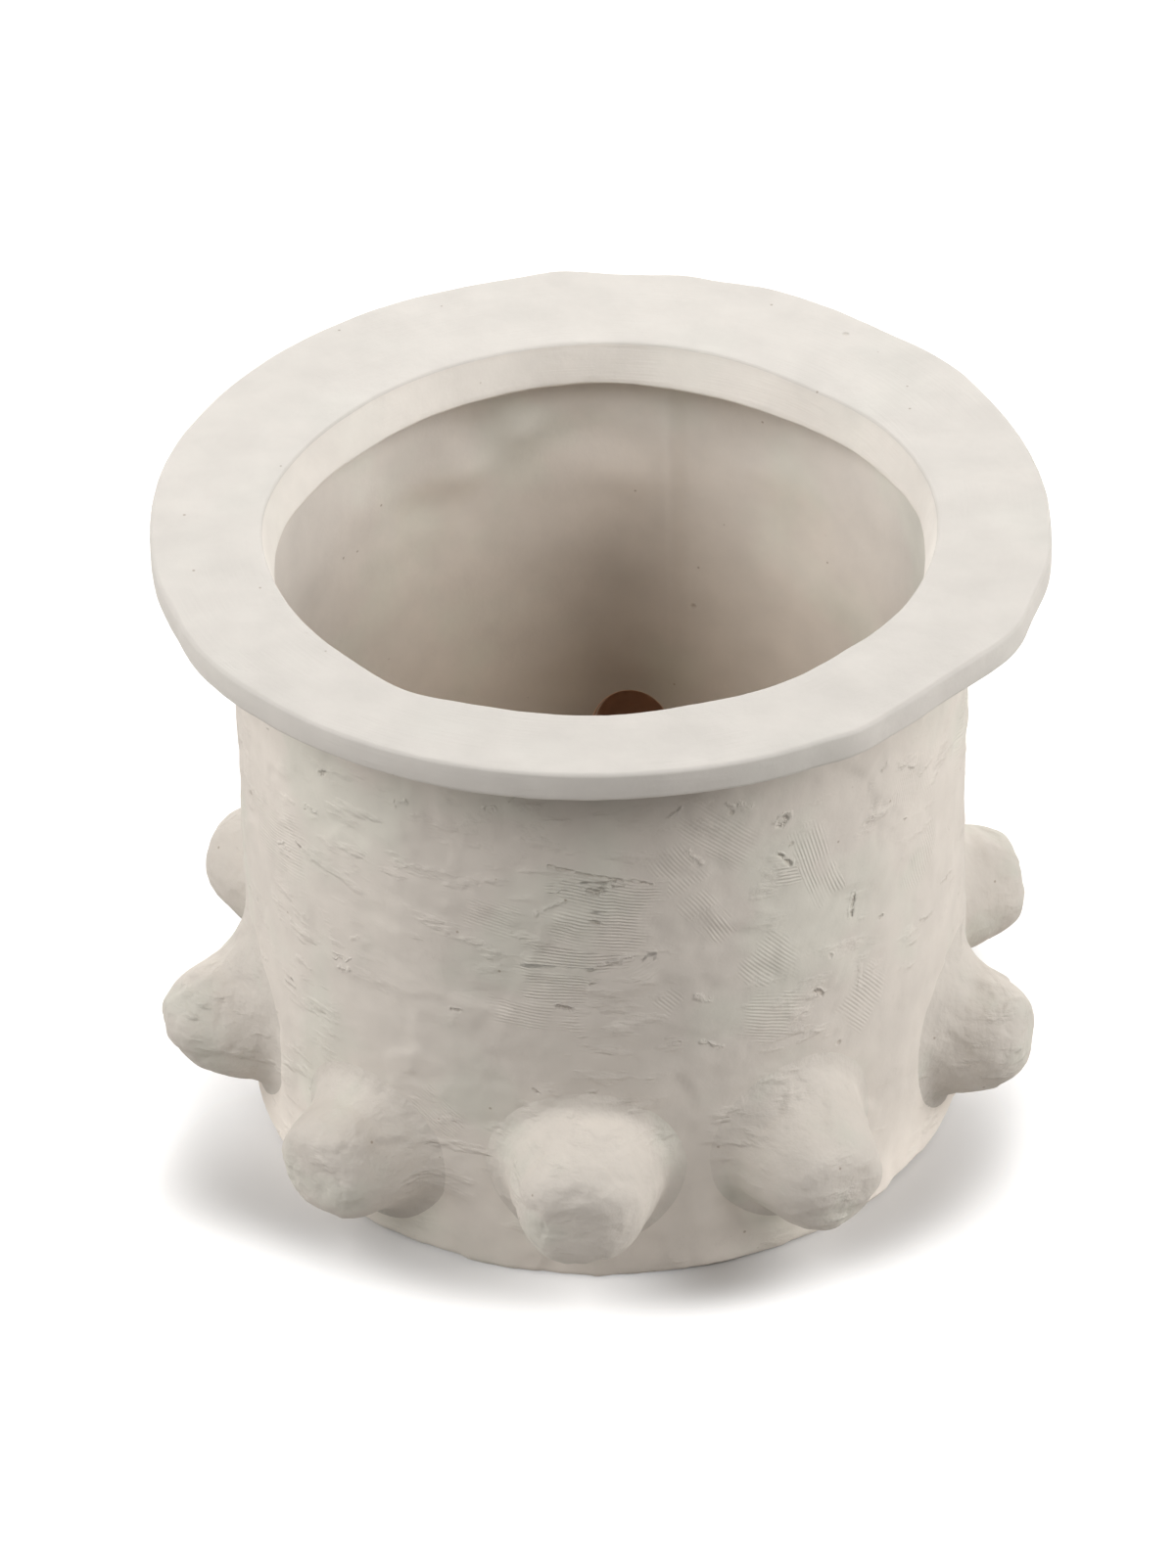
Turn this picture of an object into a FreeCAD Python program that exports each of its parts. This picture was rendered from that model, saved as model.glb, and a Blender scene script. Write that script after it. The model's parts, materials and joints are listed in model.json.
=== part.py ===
"""Hand-built stoneware flower pot: a round wall on a floor slab, with a wide flat
rim ring on top and a belt of stubby clay knobs near the foot.

Millimetres, +Z up. The origin is on the foot plane at the middle of the drain
hole, -Y is the front of the pot and +X its right side. Every clay piece that
the potter made by itself is one solid: the floor slab, the wall, the rim ring
and ten knobs. They are luted together with slip, so nothing moves.
"""
import FreeCAD, Part

import math
import os

# Overall sizes; the wall's radius is measured outside, under the rim
pot_height = 245.0
wall_radius = 132.5
foot_flare = 1.5
floor_thickness = 12.0

# The wall's mean thickness, and how far its bore sits towards the front
wall_thickness = 10.0
bore_setting = 2.0

# The rim: how far it stands out from the wall, and how thick its lip is
rim_overhang = 27.5
rim_thickness = 12.0

# The collar inside the wall, and how far the mouth in it sits towards the front
collar_width = 6.0
collar_drop = 5.0
mouth_setting = 7.0

# Softened clay edges
rim_edge_radius = 3.0
foot_edge_radius = 3.0
drain_edge_radius = 2.0

# The hole that lets water out of the floor slab
drain_radius = 9.0

# A typical knob: its axis height, reach from the wall, and radius at its root
knob_height = 42.0
knob_reach = 34.5
knob_radius = 28.0

# The hollow that runs from inside the pot into each knob
hollow_radius = 15.0
hollow_depth = 25.0
hollow_rise = 3.0
hollow_tilt_deg = 30.0

# How far cutting shapes run past what they cut
overrun = 15.0

# Half the knob's outline: distance along its axis as a share of the reach, and
# distance from the axis as a share of the root radius
flare_shares = [(0.00, 1.14), (0.09, 1.02), (0.25, 0.92)]
flank_shares = [(0.25, 0.92), (0.60, 0.78), (0.90, 0.50)]

# One row per knob: name, turn from the front towards the right in degrees, lean
# of its axis above level in degrees, then shares of knob_height, knob_reach and
# knob_radius
knob_shares = [
    ("knob_front", -4.0, -1.0, 1.18, 1.01, 1.08),
    ("knob_front_right", 29.9, -3.4, 1.10, 0.99, 1.02),
    ("knob_right", 71.9, 1.7, 0.97, 0.93, 0.96),
    ("knob_right_rear", 107.4, -0.4, 1.00, 0.97, 0.95),
    ("knob_rear_right", 140.0, 0.0, 1.04, 0.98, 1.02),
    ("knob_rear", 174.5, 0.0, 1.12, 1.00, 1.05),
    ("knob_rear_left", 209.0, 0.0, 1.05, 0.99, 1.03),
    ("knob_left_rear", 243.8, 2.2, 1.03, 1.03, 1.02),
    ("knob_left", 281.4, 2.0, 1.01, 1.02, 0.98),
    ("knob_front_left", 319.3, 12.5, 0.96, 0.92, 1.01),
]

origin = FreeCAD.Vector(0, 0, 0)
up = FreeCAD.Vector(0, 0, 1)
outward = FreeCAD.Vector(1, 0, 0)
sideways = FreeCAD.Vector(0, 1, 0)
wall_height = pot_height - rim_thickness
foot_radius = wall_radius + foot_flare
bore_radius = wall_radius - wall_thickness
rim_radius = wall_radius + rim_overhang
mouth_radius = bore_radius - collar_width


def profile_point(radius, height):
    """A point of an outline that turns round the pot's own axis."""
    return FreeCAD.Vector(radius, 0, height)


def straight(start, end):
    """A straight edge between two points."""
    return Part.LineSegment(start, end).toShape()


def arc(start, middle, end):
    """A round edge through three points."""
    return Part.Arc(start, middle, end).toShape()


def corner_arc(centre_radius, centre_height, radius, start_deg, end_deg):
    """A quarter-round edge about a centre, in an outline of the pot."""
    points = []
    for angle_deg in (start_deg, (start_deg + end_deg) / 2, end_deg):
        angle = math.radians(angle_deg)
        points.append(profile_point(centre_radius + radius * math.cos(angle),
                                    centre_height + radius * math.sin(angle)))
    return arc(*points)


def polyline(points):
    """Straight edges from each point to the next."""
    return [straight(start, end) for start, end in zip(points, points[1:])]


def turned(edges, axis_point, axis_direction):
    """The solid swept by a closed outline that turns once about an axis."""
    face = Part.Face(Part.Wire(edges))
    return face.revolve(axis_point, axis_direction, 360)


def towards_front(shape, distance):
    """The shape moved towards the front of the pot."""
    moved = shape.copy()
    moved.translate(sideways * -distance)
    return moved


def wall_radius_at(height):
    """Outside radius of the leaning wall at a height above the foot."""
    return foot_radius - foot_flare * height / wall_height


def wall_core(margin=0.0):
    """The wall's outside as a filled solid, with a softened foot edge.

    With a margin it runs that far past both ends, for cutting the knobs.
    """
    if margin:
        low = -margin
        high = wall_height + margin
        outline = polyline([
            profile_point(0, low),
            profile_point(wall_radius_at(low), low),
            profile_point(wall_radius_at(high), high),
            profile_point(0, high),
            profile_point(0, low),
        ])
        return turned(outline, origin, up)
    edge = foot_edge_radius
    outline = [straight(profile_point(0, 0), profile_point(foot_radius - edge, 0))]
    outline.append(corner_arc(foot_radius - edge, edge, edge, -90, 0))
    outline += polyline([
        profile_point(foot_radius, edge),
        profile_point(wall_radius, wall_height),
        profile_point(0, wall_height),
        profile_point(0, 0),
    ])
    return turned(outline, origin, up)


def mouth_cutter():
    """What is cut from the rim: a straight bore that opens in a rounded edge."""
    low = wall_height - collar_drop - overrun
    edge = rim_edge_radius
    outline = polyline([
        profile_point(0, low),
        profile_point(mouth_radius, low),
        profile_point(mouth_radius, pot_height - edge),
    ])
    outline.append(corner_arc(mouth_radius + edge, pot_height - edge, edge, 180, 90))
    outline += polyline([
        profile_point(mouth_radius + edge, pot_height),
        profile_point(mouth_radius + edge, pot_height + overrun),
        profile_point(0, pot_height + overrun),
        profile_point(0, low),
    ])
    return towards_front(turned(outline, origin, up), mouth_setting)


def make_rim():
    """The flat rim ring with softened edges and the collar inside the wall."""
    edge = rim_edge_radius
    outline = [straight(profile_point(0, wall_height),
                        profile_point(rim_radius - edge, wall_height))]
    outline.append(corner_arc(rim_radius - edge, wall_height + edge, edge, -90, 0))
    outline.append(straight(profile_point(rim_radius, wall_height + edge),
                            profile_point(rim_radius, pot_height - edge)))
    outline.append(corner_arc(rim_radius - edge, pot_height - edge, edge, 0, 90))
    outline += polyline([
        profile_point(rim_radius - edge, pot_height),
        profile_point(0, pot_height),
        profile_point(0, wall_height),
    ])
    slab = turned(outline, origin, up)
    collar = Part.makeCylinder(bore_radius, collar_drop,
                               profile_point(0, wall_height - collar_drop), up)
    ring = slab.fuse(towards_front(collar, bore_setting)).removeSplitter()
    return ring.cut(mouth_cutter())


def make_floor():
    """The floor slab inside the foot of the wall, with its drain hole."""
    slab = towards_front(Part.makeCylinder(bore_radius, floor_thickness, origin, up),
                         bore_setting)
    edge = drain_edge_radius
    outline = polyline([
        profile_point(0, -overrun),
        profile_point(drain_radius, -overrun),
        profile_point(drain_radius, floor_thickness - edge),
    ])
    outline.append(corner_arc(drain_radius + edge, floor_thickness - edge, edge,
                              180, 90))
    outline += polyline([
        profile_point(drain_radius + edge, floor_thickness),
        profile_point(drain_radius + edge, floor_thickness + overrun),
        profile_point(0, floor_thickness + overrun),
        profile_point(0, -overrun),
    ])
    return slab.cut(turned(outline, origin, up))


class Knob:
    """One stubby knob, pushed out from the wall and hollow on the inside."""

    def __init__(self, name, turn_deg, lean_deg, height_share, reach_share, radius_share):
        self.name = name
        self.turn_deg = turn_deg
        self.lean_deg = lean_deg
        self.height = knob_height * height_share
        self.reach = knob_reach * reach_share
        self.radius = knob_radius * radius_share
        self.seat_radius = wall_radius_at(self.height)

    def point(self, along_share, across_share):
        """A point of the half outline, before the knob is set on the wall."""
        return FreeCAD.Vector(self.seat_radius + self.reach * along_share,
                              self.radius * across_share, 0)

    def set_on_wall(self, shape):
        """Leans a level shape, lifts it to its height and turns it to its place."""
        placed = shape.copy()
        placed.rotate(outward * self.seat_radius, sideways, -self.lean_deg)
        placed.translate(up * self.height)
        placed.rotate(origin, up, self.turn_deg - 90)
        return placed

    def tip_arc(self):
        """The gently domed end, from the flank to the axis."""
        along_share, across_share = flank_shares[-1]
        sag = self.reach * (1 - along_share)
        half_width = self.radius * across_share
        dome = (sag ** 2 + half_width ** 2) / (2 * sag)
        half_angle = math.asin(half_width / dome) / 2
        tip = self.seat_radius + self.reach
        middle = FreeCAD.Vector(tip - dome * (1 - math.cos(half_angle)),
                                dome * math.sin(half_angle), 0)
        return arc(self.point(along_share, across_share), middle, FreeCAD.Vector(tip, 0, 0))

    def body(self):
        """The filled knob with a root that reaches inside the wall."""
        root = self.seat_radius - overrun
        outline = [straight(FreeCAD.Vector(root, 0, 0),
                            FreeCAD.Vector(root, self.point(*flare_shares[0]).y, 0))]
        outline.append(straight(FreeCAD.Vector(root, self.point(*flare_shares[0]).y, 0),
                                self.point(*flare_shares[0])))
        outline.append(arc(*[self.point(*share) for share in flare_shares]))
        outline.append(arc(*[self.point(*share) for share in flank_shares]))
        outline.append(self.tip_arc())
        outline.append(straight(FreeCAD.Vector(self.seat_radius + self.reach, 0, 0),
                                FreeCAD.Vector(root, 0, 0)))
        return self.set_on_wall(turned(outline, origin, outward))

    def hollow(self):
        """The round-ended cut that runs from the pot's inside into the knob."""
        ball_centre = self.seat_radius + hollow_depth - hollow_radius
        length = ball_centre - bore_radius + hollow_radius + overrun
        ball = Part.makeSphere(hollow_radius, outward * ball_centre)
        shaft = Part.makeCylinder(hollow_radius, length, outward * (ball_centre - length),
                                  outward)
        cut = ball.fuse(shaft).removeSplitter()
        cut.rotate(outward * ball_centre, sideways, hollow_tilt_deg)
        cut.translate(up * hollow_rise)
        return self.set_on_wall(cut)

    def solid(self, core):
        """The finished knob: its root follows the wall and its inside is open."""
        return self.body().cut(core).cut(self.hollow())


def make_wall(knobs):
    """The round wall with its bore and one round hole behind every knob."""
    bore = Part.makeCylinder(bore_radius, wall_height + 2 * overrun,
                             profile_point(0, -overrun), up)
    wall = wall_core().cut(towards_front(bore, bore_setting))
    for knob in knobs:
        wall = wall.cut(knob.hollow())
    return wall


def largest_solid(shape):
    """The shape's main solid, without any sliver that a cut left loose."""
    return max(shape.Solids, key=lambda solid: solid.Volume)


def main():
    """Builds every piece and writes one STEP file for each."""
    os.makedirs("parts", exist_ok=True)
    knobs = [Knob(*row) for row in knob_shares]
    core = wall_core(overrun)
    pieces = {
        "floor_slab": make_floor(),
        "wall": make_wall(knobs),
        "rim_ring": make_rim(),
    }
    for knob in knobs:
        pieces[knob.name] = knob.solid(core)
    for name, shape in pieces.items():
        solid = largest_solid(shape)
        print(name, "solids", len(shape.Solids), "volume", round(solid.Volume),
              "valid", solid.isValid())
        solid.exportStep("parts/" + name + ".step")


main()
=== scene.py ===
"""Looks of the hand-built stoneware flower pot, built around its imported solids.

Metres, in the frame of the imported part: the origin is on the foot plane at the
drain hole, +Z is up and -Y is the front. A turn is an angle round the pot, from
the front towards the right. Wrapped coordinates are the arc along the wall, the
height, and nothing.
"""
import json
import logging
import math
import random
from collections.abc import Callable, Iterable
from dataclasses import dataclass
from enum import Enum

import bpy
import numpy as np
from mathutils import Matrix, Vector

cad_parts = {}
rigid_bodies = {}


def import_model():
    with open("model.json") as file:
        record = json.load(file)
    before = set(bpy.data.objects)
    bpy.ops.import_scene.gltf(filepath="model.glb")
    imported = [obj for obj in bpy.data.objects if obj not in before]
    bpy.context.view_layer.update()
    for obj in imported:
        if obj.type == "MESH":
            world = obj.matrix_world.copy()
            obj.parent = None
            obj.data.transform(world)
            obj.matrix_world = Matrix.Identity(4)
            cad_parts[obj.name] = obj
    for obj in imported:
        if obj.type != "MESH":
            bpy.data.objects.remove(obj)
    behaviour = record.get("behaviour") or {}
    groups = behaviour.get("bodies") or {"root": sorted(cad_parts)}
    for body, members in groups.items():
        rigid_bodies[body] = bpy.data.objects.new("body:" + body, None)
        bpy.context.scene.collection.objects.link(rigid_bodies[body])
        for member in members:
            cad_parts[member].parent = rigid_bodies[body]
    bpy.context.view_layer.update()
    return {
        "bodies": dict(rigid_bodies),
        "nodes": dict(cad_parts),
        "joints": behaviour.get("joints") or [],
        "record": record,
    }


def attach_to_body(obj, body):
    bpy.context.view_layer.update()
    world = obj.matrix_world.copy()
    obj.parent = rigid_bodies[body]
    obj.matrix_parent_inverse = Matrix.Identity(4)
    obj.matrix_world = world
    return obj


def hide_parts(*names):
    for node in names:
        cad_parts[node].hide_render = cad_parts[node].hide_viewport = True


LOG = logging.getLogger("flower_pot")
ROOT = "root"
PHOTO_HEIGHT_PX = 1602
SEED_STEP = 0.731
CELL_STEP = 0.37
FACET_SOFTNESS = 0.35
FACET_STEP = 0.6
CLOUD_SIZE = 0.018
SPECK_CELLS = 210.0
IRON_TINT = (0.42, 0.33, 0.25, 1.0)
PIT_CELLS = 95.0
# Painted shade in the pits.
PIT_PAINTED_SHADE = (0.6, 0.52, 0.45, 1.0)
GRAIN_SIZE = 0.0011
DAB_SIZE = 0.006
SMEAR_SIZE = 0.0095
SMEAR_CLUSTER = 0.040
COMB_DRIFT = 0.0024
COMB_RAGGED = 1.1
STROKE_BEND = 4.0
STROKE_LIP = 1.7
# Painted shade inside the gouges: its colour and how much.
STROKE_PAINTED_SHADE = (0.55, 0.47, 0.4, 1.0)
STROKE_SHADE = 0.35
RIDGE_SHARE = 0.72
LEVEL_SLACK = 0.0002
RAY_START = 0.2

Array = np.ndarray
Numbers = Array | float
Colour = tuple[float, float, float]
Outline = tuple[tuple[float, float], ...]
Socket = bpy.types.NodeSocket
Node = bpy.types.Node
Tree = bpy.types.NodeTree
Mesh = bpy.types.Mesh
Piece = bpy.types.Object
Material = bpy.types.Material


def step(operation: str, swapped: bool = False) -> Callable:
    """A method of a value that adds one step of arithmetic to its graph.

    Args:
        operation: the step's name.
        swapped: puts the value after the other one.

    Returns:
        The method.
    """
    def combined(self: "Value", other: "Feed") -> "Value":
        """What the step gives."""
        return self.graph.calc(operation, *((other, self) if swapped else (self, other)))
    return combined


class Value:
    """What a socket gives. Arithmetic on it adds nodes to its graph."""

    def __init__(self, graph: "Graph", socket: Socket) -> None:
        """Keeps the output socket and the graph that it is in."""
        self.graph, self.socket = graph, socket

    __add__, __radd__ = step("ADD"), step("ADD", swapped=True)
    __sub__, __rsub__ = step("SUBTRACT"), step("SUBTRACT", swapped=True)
    __mul__, __rmul__ = step("MULTIPLY"), step("MULTIPLY", swapped=True)
    __truediv__, __rtruediv__ = step("DIVIDE"), step("DIVIDE", swapped=True)
    __pow__ = step("POWER")


Feed = Value | float | tuple | str | bpy.types.ID
Feeds = dict[str | int, Feed]


def is_vector(value: Feed) -> bool:
    """Tells a vector or a colour from a number."""
    return (value.socket.type in ("VECTOR", "RGBA") if isinstance(value, Value)
            else isinstance(value, tuple))


class Graph:
    """Adds nodes to one tree, of shaders or of geometry, and links them."""

    def __init__(self, tree: Tree) -> None:
        """Starts on a tree."""
        self.tree = tree

    def feed(self, socket: Socket, value: Feed) -> None:
        """Links a value into a socket, or sets the socket's constant.

        Args:
            socket: the input socket.
            value: what feeds it. One number fills all three places of a vector.
        """
        if isinstance(value, Value):
            self.tree.links.new(value.socket, socket)
        elif socket.type == "VECTOR" and isinstance(value, float):
            socket.default_value = (value,) * 3
        else:
            socket.default_value = value

    def wire(self, node: Node, feeds: Feeds) -> None:
        """Feeds a node's inputs, given by name or number."""
        for name, value in feeds.items():
            self.feed(node.inputs[name], value)

    def several(self, kind: str, feeds: Feeds, outputs: Iterable[str | int],
                **settings: object) -> list[Value]:
        """Adds a node.

        Args:
            kind: the node's type name.
            feeds: input name or number to what feeds it.
            outputs: names or numbers of the outputs that are wanted.
            **settings: properties of the node itself.

        Returns:
            What the outputs give.
        """
        node = self.tree.nodes.new(kind)
        for name, value in settings.items():
            setattr(node, name, value)
        self.wire(node, feeds)
        return [Value(self, node.outputs[output]) for output in outputs]

    def get(self, kind: str, feeds: Feeds, output: str | int = 0, **settings: object) -> Value:
        """Adds a node of which one output is wanted."""
        return self.several(kind, feeds, (output,), **settings)[0]

    def calc(self, operation: str, *values: Feed) -> Value:
        """One step of arithmetic.

        Args:
            operation: the step's name.
            *values: numbers, or vectors with or without numbers.

        Returns:
            A vector where one went in, unless the step gives a number.
        """
        vectors = sum(is_vector(value) for value in values)
        if not vectors:
            return self.get("ShaderNodeMath", dict(enumerate(values)), operation=operation)
        feeds, output = dict(enumerate(values)), "Vector"
        if operation == "MULTIPLY" and vectors == 1:
            operation = "SCALE"
            feeds = dict(zip((0, "Scale"), sorted(values, key=is_vector, reverse=True)))
        elif operation in ("DOT_PRODUCT", "LENGTH"):
            output = "Value"
        return self.get("ShaderNodeVectorMath", feeds, output, operation=operation)

    def join(self, across: Feed, along: Feed, up: Feed = 0.0) -> Value:
        """A vector from three numbers."""
        return self.get("ShaderNodeCombineXYZ", {0: across, 1: along, 2: up})

    def split(self, vector: Feed) -> list[Value]:
        """The three numbers of a vector."""
        return self.several("ShaderNodeSeparateXYZ", {0: vector}, range(3))

    def remap(self, value: Feed, low: Feed, high: Feed, to_low: Feed = 0.0,
              to_high: Feed = 1.0, kind: str = "SMOOTHSTEP") -> Value:
        """A number moved from one range to another, held at both ends."""
        feeds = dict(enumerate((value, low, high, to_low, to_high)))
        return self.get("ShaderNodeMapRange", feeds, interpolation_type=kind)

    def bell(self, gap: Value, steep: float = 1.0) -> Value:
        """A soft peak of 1 where the gap is nothing."""
        return self.calc("EXPONENT", gap * gap * -steep)

    def turn(self, x: Value, y: Value) -> Value:
        """The turn of a place, in radians."""
        return self.calc("ARCTAN2", x, y * -1.0)

    def wrap(self, place: Feed, radius: Feed) -> Value:
        """Wrapped coordinates of a place: arc along the wall, height, and nothing."""
        x, y, z = self.split(place)
        return self.join(self.turn(x, y) * radius, z)

    def noise(self, place: Value, size: Feed, seed: Feed = 0.0, detail: float = 2.0,
              output: int = 0) -> Value:
        """Soft noise from 0 to 1 whose features are about one size across.

        Args:
            place: where the noise is read.
            size: the features' size, in the place's own unit.
            seed: which pattern is drawn.
            detail: how many finer layers it has.
            output: 0 for a number, 1 for three independent numbers.

        Returns:
            The noise.
        """
        feeds = {"Vector": place + seed * SEED_STEP, "Scale": 1.0 / size, "Detail": detail}
        return self.get("ShaderNodeTexNoise", feeds, output)

    def facets(self, place: Value, size: Value, depth: Value, seed: Value) -> Value:
        """Heights of overlapping scraped facets, each leaning its own way.

        Args:
            place: where the height is read.
            size: the facets' size.
            depth: how far they reach in and out.
            seed: which pattern is drawn.

        Returns:
            The height.
        """
        bent = place + (self.noise(place, size, seed, 3.0, 1) - 0.5) * size
        bent = bent + seed * CELL_STEP
        feeds = {"Vector": bent, "Scale": 1.0 / size, "Smoothness": FACET_SOFTNESS}
        colour, middle = self.several("ShaderNodeTexVoronoi", feeds, ("Color", "Position"),
                                      feature="SMOOTH_F1")
        lean = colour - 0.5
        slope = self.calc("DOT_PRODUCT", lean, bent - middle) / size
        return (slope + self.split(lean)[2] * FACET_STEP) * depth

    def spots(self, place: Value, scale: float, core: float, edge: float, channel: int,
              share: Feed) -> Value:
        """Small round spots in a chosen share of the cells of a scattered grid.

        Args:
            place: where the spots are read.
            scale: cells to the metre.
            core: how far each spot is full, in cells.
            edge: where it ends, in cells.
            channel: which of a cell's random numbers chooses it.
            share: the share of cells that has a spot.

        Returns:
            1 on a spot and 0 beside it.
        """
        distance, colour = self.several("ShaderNodeTexVoronoi", {"Vector": place, "Scale": scale},
                                        ("Distance", "Color"))
        chosen = self.calc("LESS_THAN", self.split(colour)[channel], share)
        return self.remap(distance, core, edge, 1.0, 0.0) * chosen

    def mix(self, share: Feed, first: Feed, second: Feed, blend: str = "MIX") -> Value:
        """Two colours mixed by a share."""
        return self.get("ShaderNodeMix", {0: share, 6: first, 7: second}, 2, data_type="RGBA",
                        blend_type=blend)

    def tinted(self, colour: Feed, tint: Feed) -> Value:
        """A colour times another."""
        return self.mix(1.0, colour, tint, "MULTIPLY")

    def stored(self, name: str) -> Value:
        """A vector that is stored at the vertices."""
        return self.get("ShaderNodeAttribute", {}, "Vector", attribute_name=name)

    def shared(self, tree: Tree, outputs: int, *feeds: Feed) -> list[Value]:
        """The first outputs of a shared node group that is fed in order."""
        return self.several("ShaderNodeGroup", dict(enumerate(feeds)), range(outputs),
                            node_tree=tree)


class Group(Graph):
    """A node group with named sockets."""

    def __init__(self, name: str, inputs: dict[str, str | float], outputs: dict[str, str],
                 kind: str = "ShaderNodeTree") -> None:
        """Starts the group.

        Args:
            name: the group's name.
            inputs: socket name to its type's suffix, or to a number's default.
            outputs: socket name to its type's suffix.
            kind: the tree's type name.
        """
        super().__init__(bpy.data.node_groups.new(name, kind))
        sockets = self.tree.interface
        for title, given in inputs.items():
            suffix = given if isinstance(given, str) else "Float"
            socket = sockets.new_socket(title, in_out="INPUT", socket_type="NodeSocket" + suffix)
            if suffix is not given:
                socket.default_value = given
        for title, suffix in outputs.items():
            sockets.new_socket(title, in_out="OUTPUT", socket_type="NodeSocket" + suffix)
        self.given = self.several("NodeGroupInput", {}, inputs)
        self.out = self.tree.nodes.new("NodeGroupOutput")

    def give(self, *values: Value) -> Tree:
        """Feeds the outputs in order and hands over the tree."""
        self.wire(self.out, dict(enumerate(values)))
        return self.tree


class ShaderParts:
    """The shader node groups that the clay finishes share, each built once."""

    def __init__(self) -> None:
        """Builds every group."""
        self.tint, self.grain, self.comb = self.make_tint(), self.make_grain(), self.make_comb()
        self.scratch, self.wiping = self.make_scratch(), self.make_wiping()

    def make_tint(self) -> Tree:
        """Clay colour: broad warm and cool patches, faint clouds and a few iron specks.

        Returns:
            The group.
        """
        graph = Group("clay_tint", {"Vector": "Vector", "Warm": "Color", "Cool": "Color",
                                    "Patch Size": 0.05, "Speck Share": 0.05},
                      {"Colour": "Color"})
        place, warm, cool, patch_size, speck_share = graph.given
        patches = graph.remap(graph.noise(place, patch_size, 3.1, 3.0), 0.49, 0.66)
        clouds = graph.remap(graph.noise(place, CLOUD_SIZE, 8.4, 4.0), 0.3, 0.7, 0.95, 1.03,
                             "LINEAR")
        base = graph.tinted(graph.mix(patches, warm, cool), clouds)
        specks = graph.spots(place, SPECK_CELLS, 0.07, 0.15, 0, speck_share) * 0.55
        return graph.give(graph.mix(specks, base, graph.tinted(base, IRON_TINT)))

    def make_grain(self) -> Tree:
        """Fine grog grain, soft dabs, torn smears and small pits, as a height in metres.

        Returns:
            The group.
        """
        graph = Group("clay_grain", {
            "Vector": "Vector", "Grain Depth": 0.00003, "Dab Depth": 0.0002,
            "Flake Depth": 0.0003, "Pit Depth": 0.0004, "Pit Share": 0.1},
            {"Height": "Float", "Pits": "Float"})
        place, grain_depth, dab_depth, flake_depth, pit_depth, pit_share = graph.given
        stretched = place * (0.6, 0.6, 1.5)
        torn = graph.remap(graph.noise(stretched, SMEAR_SIZE, 2.6, 5.0), 0.5, 0.74)
        gathered = graph.remap(graph.noise(place, SMEAR_CLUSTER, 9.9, 1.0), 0.4, 0.62)
        pits = graph.spots(place, PIT_CELLS, 0.04, 0.15, 1, pit_share)
        height = (graph.noise(place, GRAIN_SIZE, 1.7, 1.0) * grain_depth
                  + graph.noise(place, DAB_SIZE, 5.2, 3.0) * dab_depth
                  + torn * gathered * flake_depth - pits * pit_depth)
        return graph.give(height, pits)

    def make_comb(self) -> Tree:
        """Parallel comb marks where the sheets say so, with ragged edges.

        Returns:
            The group.
        """
        graph = Group("comb_marks", {"Under": "Vector", "Over": "Vector", "Wrapped": "Vector",
                                     "Depth": 0.0002, "Pitch": 0.00136}, {"Height": "Float"})
        under, over, wrapped, depth, pitch = graph.given
        covered = graph.calc("LESS_THAN", graph.split(over)[1], 1.1)
        across, reach, press = graph.split(graph.mix(covered, under, over))
        across = across + (graph.noise(wrapped, 0.022, 0.0, 0.0) - 0.5) * COMB_DRIFT
        ridges = graph.calc("SINE", across * math.tau / pitch) * 0.5 + 0.5
        ragged = reach + (graph.noise(wrapped, 0.006, 3.0) - 0.5) * COMB_RAGGED
        inside = graph.remap(ragged, 0.66, 1.12, 1.0, 0.0)
        fade = graph.remap(graph.noise(wrapped, 0.011, 7.0, 0.0), 0.26, 0.44, 0.2)
        return graph.give(inside * fade * depth * press * ridges)

    def make_scratch(self) -> Tree:
        """Gouges with a raised lip, pits and smeared ridges where the sheet says so.

        Returns:
            The group.
        """
        graph = Group("tool_strokes", {"Sheet": "Vector", "Wrapped": "Vector"},
                      {"Height": "Float", "Inside": "Float"})
        sheet, wrapped = graph.given
        past, off, depth = graph.split(sheet)
        off = off + (graph.noise(wrapped, 0.004, 6.0, 3.0) - 0.5) * STROKE_BEND
        past = graph.calc("MAXIMUM", past, 0.0)
        gap = graph.calc("SQRT", past * past + off * off)
        broken = graph.remap(graph.noise(wrapped, 0.0026, 8.0, 3.0), 0.34, 0.6, 0.1)
        inside = graph.bell(gap, 1.2) * broken
        lip = graph.bell(gap - STROKE_LIP, 3.0) * graph.remap(off, -1.0, 1.5, 0.0, 0.35)
        height = lip * broken * graph.calc("MAXIMUM", depth, 0.0) - inside * depth
        # The second output marks the inside of the gouges, where painted shade goes.
        return graph.give(height, inside * graph.remap(depth, 0.0001, 0.0008))

    def make_wiping(self) -> Tree:
        """Fine lines that a wet sponge leaves round a ring, as a height in metres.

        Returns:
            The group.
        """
        graph = Group("wiping_lines", {"Vector": "Vector", "Depth": 0.00005, "Pitch": 0.0011},
                      {"Height": "Float"})
        place, depth, pitch = graph.given
        x, y, z = graph.split(place)
        radius = graph.calc("LENGTH", graph.join(x, y))
        lines = graph.noise(graph.join(graph.turn(x, y) * 0.006, radius + z), pitch, 4.4, 1.0)
        shown = graph.remap(graph.noise(place, 0.035, 7.7, 1.0), 0.42, 0.6, 0.15)
        return graph.give(lines * shown * depth)


def bell(gap: Numbers, width: float) -> Numbers:
    """A soft peak of 1 where the gap is nothing."""
    return np.exp(-(gap / width) ** 2)


def ramp(value: Numbers, start: float, end: float) -> Numbers:
    """The share of the way from a start to an end, held at both."""
    return np.clip((value - start) / (end - start), 0, 1)


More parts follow.
